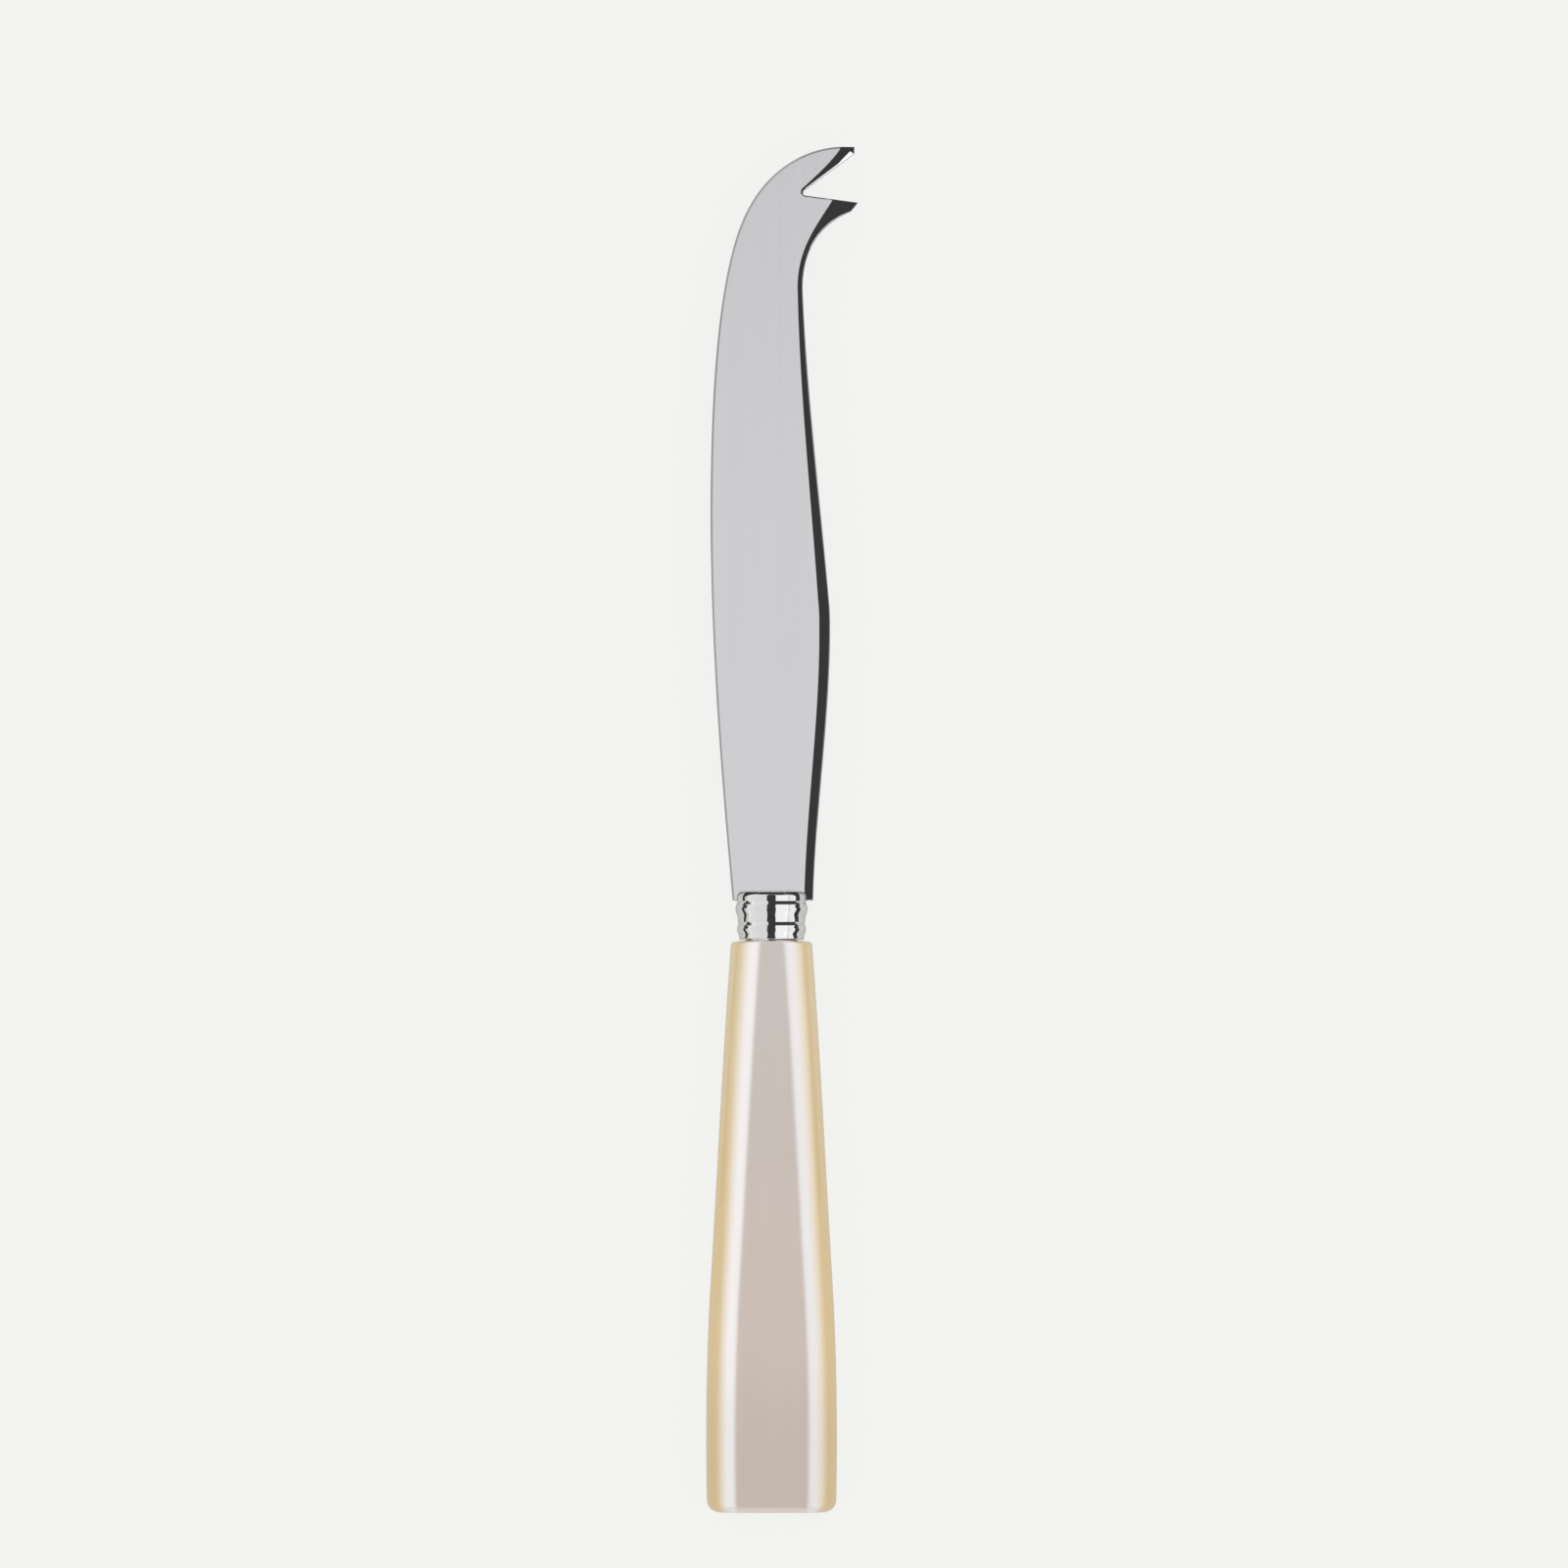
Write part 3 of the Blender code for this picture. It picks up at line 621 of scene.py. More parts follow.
@dataclass(frozen=True)
class SteelFinish:
    """Polished stainless steel with the fine marks of its last pass."""

    name: str
    colour: Colour
    cloud_colour: Colour
    roughness: float
    ground_roughness: float
    lines_along: float
    lines_across: float
    line_depth: float
    line_detail: float = 4.0
    line_strength: float = 0.6
    line_range: Pair = (0.25, 0.75)
    rough_shares: Pair = (0.9, 1.1)
    cloud_size: float = 45.0
    cloud_detail: float = 2.0

    def make(self, textures: Textures) -> Material:
        """Build the material.

        Args:
            textures: the shared shader groups.

        Returns:
            The material. The mesh's attribute ground is 1 on its mirror ground facets.
        """
        material, t, shader = new_material(self.name, self.colour)
        lines = textures.lines(t, self.lines_along, self.lines_across, self.line_detail)
        cloud = t.add("ShaderNodeTexNoise", {"Vector": t.coordinate("Object"),
                                             "Scale": self.cloud_size,
                                             "Detail": self.cloud_detail}).outputs[0]
        t.put(t.mix(cloud, self.colour, self.cloud_colour), shader.inputs["Base Color"])
        ground = t.add("ShaderNodeAttribute", attribute_name="ground").outputs["Fac"]
        low, high = self.rough_shares
        face, facet = (t.ramp(lines, *self.line_range, low * base, high * base)
                       for base in (self.roughness, self.ground_roughness))
        rough = t.add("ShaderNodeMix", {0: ground, 2: face, 3: facet}, data_type="FLOAT")
        t.put(rough.outputs[0], shader.inputs["Roughness"])
        bump = t.add("ShaderNodeBump", {"Strength": self.line_strength,
                                        "Distance": self.line_depth, "Height": lines})
        t.put(bump.outputs[0], shader.inputs["Normal"])
        shader.inputs["Metallic"].default_value = 1.0
        return material


SATIN_STEEL = SteelFinish(
    name="satin_steel", colour=(0.79, 0.79, 0.815), cloud_colour=(0.81, 0.81, 0.83),
    roughness=0.14, ground_roughness=0.06,
    lines_along=6.0, lines_across=900.0, line_depth=0.002 * MM)
MIRROR_STEEL = SteelFinish(
    name="mirror_steel", colour=(0.80, 0.79, 0.79), cloud_colour=(0.82, 0.81, 0.81),
    roughness=0.06, ground_roughness=0.06,
    lines_along=2600.0, lines_across=30.0, line_depth=0.001 * MM)


@dataclass(frozen=True)
class PearlFinish:
    """Cast acrylic with pearl flakes that lie level with the handle's broad faces.

    The flakes show pinkish on the faces. The shoulders are painted near white: partly
    their silver flakes and partly a painted sheen where the lamps' highlights fall. At the
    sides the flakes are seen on edge, where the plain cream of the acrylic shows. A reach
    is where a change starts and ends: two leans of the surface to the side, or two places along.
    """

    name: str = "pearl_acrylic"
    face_colour: Colour = (0.836, 0.7155, 0.6435)
    front_colour: Colour = (0.81, 0.742, 0.693)
    # Near white on the shoulders: partly the flakes' silver, partly a painted sheen.
    shoulder_flake_sheen_colour: Colour = (0.91, 0.87, 0.86)
    side_colour: Colour = (0.70, 0.525, 0.27)
    front_side_colour: Colour = (0.72, 0.572, 0.338)
    flake_share: float = 0.3
    roughness: float = 0.26
    coat: float = 0.5
    coat_roughness: float = 0.1
    shoulder_reach: Pair = (0.75, 0.3)
    face_reach: Pair = (0.17, 0.02)
    cool_reach: Pair = (-0.015, 0.05)
    # Where the colour darkens towards the butt, from 20 to 40 mm behind the joint.
    butt_darkening_reach: Pair = (-0.02, -0.04)
    butt_level: float = 0.925
    least_level: float = 0.05
    fibres: tuple[float, float, float] = (18.0, 420.0, 3.0)
    fibre_range: Pair = (0.3, 0.7)
    silk_shares: Pair = (0.992, 1.008)
    rough_shares: Pair = (0.97, 1.03)

    def lean(self, t: Tree) -> Socket:
        """Return how far the surface leans to the side, also on the butt's round edges."""
        normal = t.parts(t.coordinate("Normal"))
        square = t.math("POWER", normal["X"], 2.0)
        level = t.math("SQRT", t.math("SUBTRACT", 1.0, square, clamp=True))
        least = t.math("MAXIMUM", level, self.least_level)
        return t.math("ABSOLUTE", t.math("DIVIDE", normal["Y"], least))

    def make(self, textures: Textures) -> Material:
        """Build the material.

        Args:
            textures: the shared shader groups.

        Returns:
            The material.
        """
        material, t, shader = new_material(self.name, self.face_colour)
        lean = self.lean(t)
        flakes = t.ramp(lean, *self.shoulder_reach)
        face = t.ramp(lean, *self.face_reach)
        along = t.parts(t.coordinate("Object"))["X"]
        cool = t.ramp(along, *self.cool_reach)
        level_colour = t.mix(cool, self.face_colour, self.front_colour)
        side_colour = t.mix(cool, self.side_colour, self.front_side_colour)
        # The shoulders' near-white colour is partly the flakes and partly a painted sheen where the
        # lamps' highlights fall.
        colour = t.mix(face, t.mix(flakes, side_colour, self.shoulder_flake_sheen_colour), level_colour)
        fibres = textures.lines(t, *self.fibres)
        # The colour grows darker towards the butt, down to butt_level.
        silk = t.times(t.ramp(fibres, *self.fibre_range, *self.silk_shares),
                       t.ramp(along, *self.butt_darkening_reach, 1.0, self.butt_level))
        tinted = t.add("ShaderNodeVectorMath", {0: colour, 3: silk}, operation="SCALE")
        t.put(tinted.outputs[0], shader.inputs["Base Color"])
        t.put(t.times(flakes, self.flake_share), shader.inputs["Metallic"])
        low, high = (share * self.roughness for share in self.rough_shares)
        rough = t.ramp(fibres, *self.fibre_range, low, high)
        t.put(rough, shader.inputs["Roughness"])
        shader.inputs["Coat Weight"].default_value = self.coat
        shader.inputs["Coat Roughness"].default_value = self.coat_roughness
        return material


class Grind(Enum):
    """How steeply the rim is ground: its fall for each step towards the outline."""

    KEEN = 0.7
    FACET = 0.42
    PRONG = 0.19
    BREAK = 0.8


@dataclass
class Rim:
    """The rim of the blade: outline, inner line, and the slope and round between them."""

    mitre_limit: float = 0.6
    outline: list[Vector] = field(default_factory=list)
    inner: list[Vector | float] = field(default_factory=list)
    rounds: list[float] = field(default_factory=list)
    slopes: list[float] = field(default_factory=list)
    wedges: list[bool] = field(default_factory=list)

    def add(self, points: list[Vector], inner: list[Vector] | Vector | float | Pair,
            rounds: float | Pair, grinds: Grind | tuple[Grind, Grind],
            wedge: bool = False) -> None:
        """Add a stretch up to its last point, which the next stretch begins with.

        A width, a round or a grind is one value, or a pair for the stretch's two ends.

        Args:
            points: the outline's points.
            inner: the inner line's points, one shared point, or its width inward.
            rounds: the round's width.
            grinds: the grind.
            wedge: whether a flat wedge is ground there instead of the round.
        """
        count = len(points) - 1
        first, last = ends(grinds)
        for i in range(count):
            share = i / count
            if isinstance(inner, list):
                place: Vector | float = inner[i]
            elif isinstance(inner, Vector):
                place = inner
            else:
                place = blend(*ends(inner), share)
            self.outline.append(points[i])
            self.inner.append(place)
            self.rounds.append(blend(*ends(rounds), share))
            self.slopes.append(blend(first.value, last.value, share))
            self.wedges.append(wedge)

    def inward(self, i: int) -> Vector:
        """Return the way into the plate at a point, long enough to keep a corner's width."""
        here = self.outline[i]
        came = (here - self.outline[i - 1]).normalized()
        goes = (self.outline[(i + 1) % len(self.outline)] - here).normalized()
        along = (came + goes).normalized()
        return Vector((along.y, -along.x)) / max(along.dot(goes), self.mitre_limit)


@dataclass
class Blade:
    """The ground blade with its prongs and tang."""

    knife: Knife
    textures: Textures
    length: float = 138.43 * MM
    spine_thickness: float = 2.3 * MM
    edge_thickness: float = 0.62 * MM
    tip_thickness: float = 1.8 * MM
    heel_edge_side: float = 7.16 * MM
    heel_edge_slope: float = 0.091
    heel_spine_side: float = 7.65 * MM
    heel_spine_slope: float = 0.025
    heel_corner: float = 0.5 * MM
    belly_at: float = 71.5 * MM
    belly_side: float = 11.2 * MM
    belly_slope: float = -0.001
    sweep_behind_tip: float = 15.6 * MM
    sweep_side: float = 6.12 * MM
    sweep_slope: float = -0.347
    sweep_reaches: Pair = (0.24, 0.96)
    tip_reach: float = 0.08
    peak_at: float = 53.0 * MM
    peak_side: float = 10.75 * MM
    peak_slope: float = 0.088
    peak_rounding: float = 3.0 * MM
    neck_behind_tip: float = 27.0 * MM
    neck_side: float = 5.75 * MM
    neck_slope: float = 0.042
    upper_prong_reach: float = 15.2 * MM
    lower_prong_reach: float = 15.9 * MM
    lower_prong_behind_tip: float = 10.23 * MM
    upper_prong_end: float = 1.28 * MM
    lower_prong_end: float = 1.65 * MM
    prong_undercut: float = 1.25 * MM
    apex_behind_tip: float = 8.77 * MM
    apex_side: float = 4.95 * MM
    notch_radius: float = 0.53 * MM
    wedge_width: float = 0.9 * MM
    wedge_length: float = 3.5 * MM
    wedge_strip: float = 0.28 * MM
    wedge_fall: float = 0.6
    wedge_land: float = 0.08 * MM
    upper_facet_back: float = 2.6 * MM
    lower_facet_back: float = 4.75 * MM
    upper_facet_bend: tuple = ((0.3, 0.2), (0.27, 0.32))
    lower_facet_bend: tuple = ((0.28, 0.47), (0.46, -0.065))
    underside_bend: tuple = ((0.18, 0.8), (0.4, -0.035))
    edge_bevel: float = 0.36 * MM
    edge_round: float = 0.05 * MM
    band_at_heel: float = 1.65 * MM
    band_at_peak: float = 2.0 * MM
    band_at_neck: float = 0.95 * MM
    band_at_notch: float = 0.55 * MM
    round_at_notch: float = 0.18 * MM
    round_at_prongs: float = 0.4 * MM
    round_at_neck: float = 0.2 * MM
    round_at_peak: float = 0.42 * MM
    edge_break: float = 0.1 * MM
    edge_land: float = 0.2 * MM
    long_steps: int = 72
    curl_steps: int = 80
    facet_steps: int = 40
    notch_steps: int = 24
    short_steps: int = 6
    round_steps: int = 7
    round_fall: float = 1.1
    least_height: float = 0.15
    sharp: float = 14.0
    face_level: float = 0.99

    def __post_init__(self) -> None:
        """Work out where the tip is."""
        self.heel_at = self.knife.heel_at
        self.tip_at = self.heel_at + self.length
        self.rim = Rim()

    def half_thickness(self, distance: float, side: float) -> float:
        """Return half the plate's thickness at a place."""
        lean = (self.spine_thickness - self.edge_thickness) / (self.peak_side + self.belly_side)
        fall = (self.spine_thickness - self.tip_thickness) * (distance - self.heel_at) / self.length
        return (self.spine_thickness - lean * (side + self.peak_side) - fall) / 2

    def notch_root(self, upper: Vector, lower: Vector) -> list[Vector]:
        """Return the arc of the notch's root.

        Args:
            upper: the upper prong's corner.
            lower: the lower prong's corner.

        Returns:
            The arc's points, from the upper prong's side to the lower one's.
        """
        apex = Vector((self.tip_at - self.apex_behind_tip, -self.apex_side))
        to_upper = (upper - apex).normalized()
        to_lower = (lower - apex).normalized()
        half_angle = to_upper.angle(to_lower) / 2
        middle = (to_upper + to_lower).normalized()
        centre = apex + middle * self.notch_radius / math.sin(half_angle)
        tangent = self.notch_radius / math.tan(half_angle)
        spoke = apex + to_upper * tangent - centre
        far = apex + to_lower * tangent - centre
        turn = math.copysign(math.pi - 2 * half_angle, spoke.cross(far))
        count = self.notch_steps
        return [centre + Matrix.Rotation(turn * i / count, 2) @ spoke for i in range(count + 1)]

    def edge(self) -> Vector:
        """Add the cutting edge, from the heel's corner along the belly to the upper prong.

        Returns:
            The upper prong's first corner.
        """
        heel = Vector((self.heel_at, self.heel_edge_side))
        low = heel + Vector((1, self.heel_edge_slope)) * self.heel_corner
        belly = Vector((self.heel_at + self.belly_at, self.belly_side))
        sweep = Vector((self.tip_at - self.sweep_behind_tip, self.sweep_side))
        prong = Vector((self.tip_at, self.upper_facet_back - self.upper_prong_reach))
        keen = (self.edge_bevel, self.edge_round, Grind.KEEN)
        self.rim.add(curve(heel - Vector((0, self.heel_corner)), heel, heel, low, self.short_steps),
                     (self.edge_land, self.edge_bevel), (self.edge_break, self.edge_round),
                     (Grind.BREAK, Grind.KEEN))
        self.rim.add(sloped(low, belly, (self.heel_edge_slope, self.belly_slope),
                            self.long_steps), *keen)
        self.rim.add(sloped(belly, sweep, (self.belly_slope, self.sweep_slope),
                            self.long_steps, (1 / 3, self.sweep_reaches[0])), *keen)
        reach = (prong.x - sweep.x) * self.sweep_reaches[1]
        self.rim.add(curve(sweep, sweep + Vector((1, self.sweep_slope)) * reach,
                           prong + Vector((0, (sweep.y - prong.y) * self.tip_reach)),
                           prong, self.curl_steps), *keen)
        return prong

    def upper_prong(self, prong: Vector, tip: Vector, tip_end: Vector, root: Vector) -> None:
        """Add the upper prong's blunt end and its side of the notch, ground to a wedge.

        Args:
            prong: where the cutting edge ends.
            tip: the blunt end's far corner.
            tip_end: its corner at the notch.
            root: where the notch's root begins.
        """
        corner = prong - Vector((self.edge_bevel, 0))
        self.rim.add(line(prong, tip, self.short_steps), corner,
                     (self.edge_round, self.edge_break), Grind.PRONG)
        self.rim.add(line(tip, tip_end, self.short_steps), corner,
                     (self.edge_break, self.edge_land), Grind.PRONG)
        run = root - tip_end
        side = run.normalized()
        end = root + Vector((side.y, -side.x)) * self.band_at_notch
        notch_side = line(tip_end, root, self.facet_steps)
        face = bent(corner, end, self.upper_facet_bend, self.facet_steps)
        last = round(self.facet_steps * self.wedge_length / run.length)
        self.rim.add(notch_side[:last + 1], face, (self.wedge_width, self.wedge_strip),
                     Grind.PRONG, True)
        self.rim.add(notch_side[last:], face[last:], (self.wedge_strip, self.round_at_notch),
                     Grind.PRONG, True)

    def lower_prong(self, root: Vector, tip: Vector, tip_end: Vector, neck: Vector) -> None:
        """Add the lower prong's straight top, blunt end and hollow underside.

        Args:
            root: where the notch's root ends.
            tip: the blunt end's corner at the notch.
            tip_end: its corner at the underside.
            neck: where the spine begins.
        """
        side = (tip - root).normalized()
        face = tip - side * self.lower_facet_back
        corner = face + Vector((side.y, -side.x)) * self.edge_land
        self.rim.add(line(root, face, self.short_steps), self.edge_land, self.edge_break,
                     Grind.BREAK)
        self.rim.add(line(face, tip, self.long_steps), corner, self.edge_break, Grind.PRONG)
        self.rim.add(line(tip, tip_end, self.short_steps), corner,
                     (self.edge_break, self.round_at_prongs), Grind.PRONG)
        self.rim.add(bent(tip_end, neck, self.underside_bend, self.long_steps),
                     bent(corner, neck + Vector((0, self.band_at_neck)), self.lower_facet_bend,
                          self.long_steps),
                     (self.round_at_prongs, self.round_at_neck), (Grind.PRONG, Grind.FACET))

    def fork(self, prong: Vector) -> Vector:
        """Add both prongs and the notch between them, and return the neck's point."""
        tip = Vector((self.tip_at, -self.upper_prong_reach))
        tip_end = tip - Vector((self.upper_prong_end, 0))
        low_tip = Vector((self.tip_at - self.lower_prong_behind_tip, -self.lower_prong_reach))
        low_end = low_tip + Vector((-self.lower_prong_end, self.prong_undercut))
        neck = Vector((self.tip_at - self.neck_behind_tip, -self.neck_side))
        root = self.notch_root(tip_end, low_tip)
        self.upper_prong(prong, tip, tip_end, root[0])
        self.rim.add(root, (self.band_at_notch, self.edge_land),
                     (self.round_at_notch, self.edge_break), (Grind.PRONG, Grind.BREAK))
        self.lower_prong(root[-1], low_tip, low_end, neck)
        return neck

    def spine(self, neck: Vector) -> Vector:
        """Add the ground spine from the neck over its peak, and return the heel's point."""
        peak = Vector((self.heel_at + self.peak_at, -self.peak_side))
        heel = Vector((self.heel_at, -self.heel_spine_side))
        before = peak + Vector((1, self.peak_slope)) * self.peak_rounding
        after = peak - Vector((self.peak_rounding, 0))
        self.rim.add(sloped(neck, before, (self.neck_slope, self.peak_slope), self.long_steps),
                     (self.band_at_neck, self.band_at_peak),
                     (self.round_at_neck, self.round_at_peak), Grind.FACET)
        self.rim.add(curve(before, peak, peak, after, self.short_steps),
                     self.band_at_peak, self.round_at_peak, Grind.FACET)
        self.rim.add(sloped(after, heel, (0.0, -self.heel_spine_slope), self.long_steps),
                     (self.band_at_peak, self.band_at_heel),
                     (self.round_at_peak, self.round_at_neck), Grind.FACET)
        return heel

    def heel(self, heel: Vector) -> None:
        """Add the square end of the heel, from the spine's end at a point."""
        band_end = heel + Vector((0, self.band_at_heel))
        edge_end = Vector((self.heel_at, self.heel_edge_side - self.heel_corner))
        self.rim.add(line(heel, band_end, self.short_steps),
                     band_end + Vector((self.edge_land, 0)),
                     (self.round_at_neck, self.edge_break), Grind.FACET)
        self.rim.add(line(band_end, edge_end, self.short_steps), self.edge_land,
                     self.edge_break, Grind.BREAK)

    def section(self, i: int, top: float, reach: float) -> tuple[Vector, Vector, Vector]:
        """Return the rim's round, or its flat wedge, at a point of the outline.

        Args:
            i: the point's number.
            top: the height of the flat face there.
            reach: how far the ground band reaches in.

        Returns:
            The start, pull and end of a curve, as (distance inward, height).
        """
        width, slope = self.rim.rounds[i], self.rim.slopes[i]
        fall = slope * max(reach - width, 0.0)
        crest = Vector((width, max(top - fall, self.least_height * top)))
        if self.rim.wedges[i]:
            land = self.wedge_land
            foot = Vector((land, crest.y - self.wedge_fall * (width - land)))
            return crest, crest.lerp(foot, 0.5), foot
        foot = Vector((0.0, max(crest.y - self.round_fall * width, self.least_height * crest.y)))
        return crest, Vector((0.0, max(foot.y, crest.y - slope * width))), foot

    def rings(self) -> list[list[tuple[float, float, float]]]:
        """Return the rings of points from the flat face out to the outline."""
        rings: list[list[tuple[float, float, float]]] = [[] for _ in range(self.round_steps + 3)]
        for i, point in enumerate(self.rim.outline):
            inward, inner = self.rim.inward(i), self.rim.inner[i]
            if not isinstance(inner, Vector):
                inner = point + inward * inner
            top = self.half_thickness(*inner)
            crest, pull, foot = self.section(i, top, (inner - point).length)
            rings[0].append((*inner, top))
            for step in range(self.round_steps + 1):
                share = step / self.round_steps
                at = crest.lerp(pull, share).lerp(pull.lerp(foot, share), share)
                rings[step + 1].append((*(point + inward * at.x), at.y))
            rings[-1].append((*point, foot.y - self.rim.slopes[i] * foot.x))
        return rings

    def plate(self) -> Mesh:
        """Return the plate, closed between its two faces."""
        bm = bmesh.new()
        rings = self.rings()
        count = len(rings[0])
        outer = []
        for sign in (1, -1):
            rows = [[bm.verts.new((x, y, sign * z)) for x, y, z in ring] for ring in rings]
            bm.faces.new(rows[0])
            for near, far in zip(rows, rows[1:]):
                for i in range(count):
                    bm.faces.new((near[i - 1], near[i], far[i], far[i - 1]))
            outer.append(rows[-1])
        for i in range(count):
            bm.faces.new((outer[0][i - 1], outer[0][i], outer[1][i], outer[1][i - 1]))
        bmesh.ops.remove_doubles(bm, verts=bm.verts, dist=MERGE_DISTANCE)
        bmesh.ops.recalc_face_normals(bm, faces=bm.faces)
        return keep("blade_plate", bm)

    def mark_ground(self, mesh: Mesh) -> None:
        """Mark the faces that aren't level: facets, bevels and rounds."""
        ground = mesh.attributes.new("ground", "FLOAT", "FACE")
        levels = [float(abs(face.normal.z) < self.face_level) for face in mesh.polygons]
        ground.data.foreach_set("value", levels)

    def crease_ground(self, mesh: Mesh) -> None:
        """Draw every line sharp where a level face meets a ground one."""
        bm = bmesh.new()
        bm.from_mesh(mesh)
        ground = bm.faces.layers.float["ground"]
        for edge in bm.edges:
            if len({round(face[ground]) for face in edge.link_faces}) > 1:
                edge.smooth = False
        bm.to_mesh(mesh)
        bm.free()

    def build(self) -> Object:
        """Build the blade in one piece with its tang."""
        self.heel(self.spine(self.fork(self.edge())))
        tang = self.knife.tang("tang", 0.0, self.heel_at + self.knife.tang_root)
        mesh = cut("ground_blade", self.plate(), [("UNION", tang)])
        self.mark_ground(mesh)
        piece = self.knife.mount("ground_blade", mesh, SATIN_STEEL.make(self.textures),
                                 self.sharp, "blade", Slot.BLADE)
        self.crease_ground(piece.data)
        return piece


@dataclass
class Ferrule:
    """The turned ferrule with its beads and grooves, and its cap with a round edge."""

    knife: Knife
    textures: Textures
    base_radius: float = 5.96 * MM
    foot_at: float = 0.42 * MM
    foot_length: float = 0.8 * MM
    foot_line_at: float = 0.6 * MM
    foot_line_depth: float = 0.0745 * MM
    foot_line_half_width: float = 0.14 * MM
    lower_swell: float = 1.62 * MM
    lower_fall: float = 0.73 * MM
    lower_rise: float = 0.39 * MM
    waist_rise: float = 0.25 * MM
    waist_length: float = 0.41 * MM
    upper_swell: float = 2.0 * MM
    upper_fall: float = 0.79 * MM
    upper_rise: float = 0.68 * MM
    cap_rise: float = 0.52 * MM
    cap_edge_radius: float = 0.75 * MM
    cap_lip_radius: float = 0.05 * MM
    cap_bevel: float = 0.38 * MM
    cap_bevel_angle: float = 40.0
    cap_crown: float = 0.03 * MM
    groove_depth: float = 0.17 * MM
    groove_half_width: float = 0.32 * MM
    blade_half_thickness: float = 1.27 * MM
    overshoot: float = 1.0 * MM
    bead_steps: int = 20
    groove_steps: int = 8
    cap_edge_steps: int = 14
    crown_steps: int = 12
    turn_steps: int = 224
    sharp: float = 20.0

    def ogee(self, start: Pair, end: Pair) -> list[Pair]:
        """Return profile points from one (distance, rise) up to another on half a wave."""
        points = []
        for step in range(self.bead_steps):
            share = step / self.bead_steps
            ease = (1 - math.cos(math.pi * share)) / 2
            points.append((blend(start[0], end[0], share), blend(start[1], end[1], ease)))
        return points

    def groove(self, middle: float, rise: float, depth: float, half_width: float) -> list[Pair]:
        """Return profile points of a V groove in a surface of a given rise."""
        steps = self.groove_steps
        shares = [2 * step / steps - 1 for step in range(steps + 1)]
        return [(middle + share * half_width, rise - depth * (1 - abs(share))) for share in shares]

    def profile(self) -> list[Pair]:
        """Return the profile as (distance, radius), from the cap's top to the bore's floor."""
        size = (self.groove_depth, self.groove_half_width)
        lower = (self.foot_length + self.lower_swell, self.lower_rise)
        waist_at = lower[0] + self.lower_fall + self.groove_half_width
        waist_end = (waist_at + self.groove_half_width + self.waist_length, self.waist_rise)
        upper = (waist_end[0] + self.upper_swell, self.upper_rise)
        cap_groove_at = upper[0] + self.upper_fall + self.groove_half_width
        foot_line = self.groove(self.foot_line_at, 0.0, self.foot_line_depth,
                                self.foot_line_half_width)
        waist = self.groove(waist_at, self.waist_rise, *size)
        under_cap = self.groove(cap_groove_at, self.cap_rise, *size)
        rises = [(self.foot_at, 0.0)] + foot_line
        rises += self.ogee((self.foot_length, 0.0), lower)
        rises += self.ogee(lower, waist[0]) + waist
        rises += self.ogee(waist_end, upper)
        rises += self.ogee(upper, under_cap[0]) + under_cap
        outside = [(distance, self.base_radius + rise) for distance, rise in rises] + self.cap()
        inside = [(self.foot_at, self.knife.bore_radius),
                  (self.knife.bore_depth, self.knife.bore_radius), (self.knife.bore_depth, 0.0)]
        return outside[::-1] + inside

    def arc(self, centre: Pair, radius: float, turns: Pair) -> list[Pair]:
        """Return profile points of the cap's edge on an arc.

        Args:
            centre: its centre as (distance, radius).
            radius: its own radius.
            turns: where it starts and ends, 0 at the side and a quarter turn on top.

        Returns:
            The points, both ends included.
        """
        steps = self.cap_edge_steps
        angles = [blend(*turns, step / steps) for step in range(steps + 1)]
        return [(centre[0] + radius * math.sin(angle), centre[1] + radius * math.cos(angle))
                for angle in angles]

    def cap(self) -> list[Pair]:
        """Return the cap's profile: its round edge, straight bevel, small lip and low crown."""
        slope = math.radians(self.cap_bevel_angle)
        lip, edge = self.cap_lip_radius, self.cap_edge_radius
        edge_top = self.knife.cap_top - self.cap_crown
        bevel_end = edge_top - lip * (1 - math.sin(slope))
        low = bevel_end - self.cap_bevel - edge * math.sin(slope)
        points = self.arc((low, self.base_radius + self.cap_rise - edge), edge, (0.0, slope))
        crown_radius = points[-1][1] - self.cap_bevel * math.tan(slope) - lip * math.cos(slope)
        points += self.arc((edge_top - lip, crown_radius), lip, (slope, math.pi / 2))[:-1]
        for step in range(self.crown_steps + 1):
            share = 1 - step / self.crown_steps
            points.append((self.knife.cap_top - self.cap_crown * share ** 2, crown_radius * share))
        return points

    def blade_slot(self) -> Mesh:
        """Return the solid that is taken out of the cap for the blade's heel."""
        reach = self.base_radius + self.overshoot
        low = self.knife.heel_at - self.knife.seat_gap
        high = self.knife.cap_top + self.overshoot
        corners = [(low, -reach), (high, -reach), (high, reach), (low, reach)]
        return prism("blade_slot", corners, self.blade_half_thickness + self.knife.seat_gap)

    def build(self) -> Object:
        """Build the ferrule with its bore, slot and tang opening."""
        material = MIRROR_STEEL.make(self.textures)
        profile = line_mesh("ferrule_profile", [(*p, 0.0) for p in self.profile()])
        mesh = run_tree("turned_ferrule", profile, turned_tree(),
                        {"Turn Steps": self.turn_steps, "Merge Distance": MERGE_DISTANCE,
                         "Finish": material})
        tang_way = self.knife.tang("tang_way", self.knife.tang_clearance,
                                   self.knife.heel_at + self.overshoot)
        mesh = cut("turned_ferrule", mesh, [("DIFFERENCE", self.blade_slot()),
                                            ("DIFFERENCE", tang_way)])
        return self.knife.mount("turned_ferrule", mesh, material, self.sharp, "ferrule",
                                Slot.FERRULE)


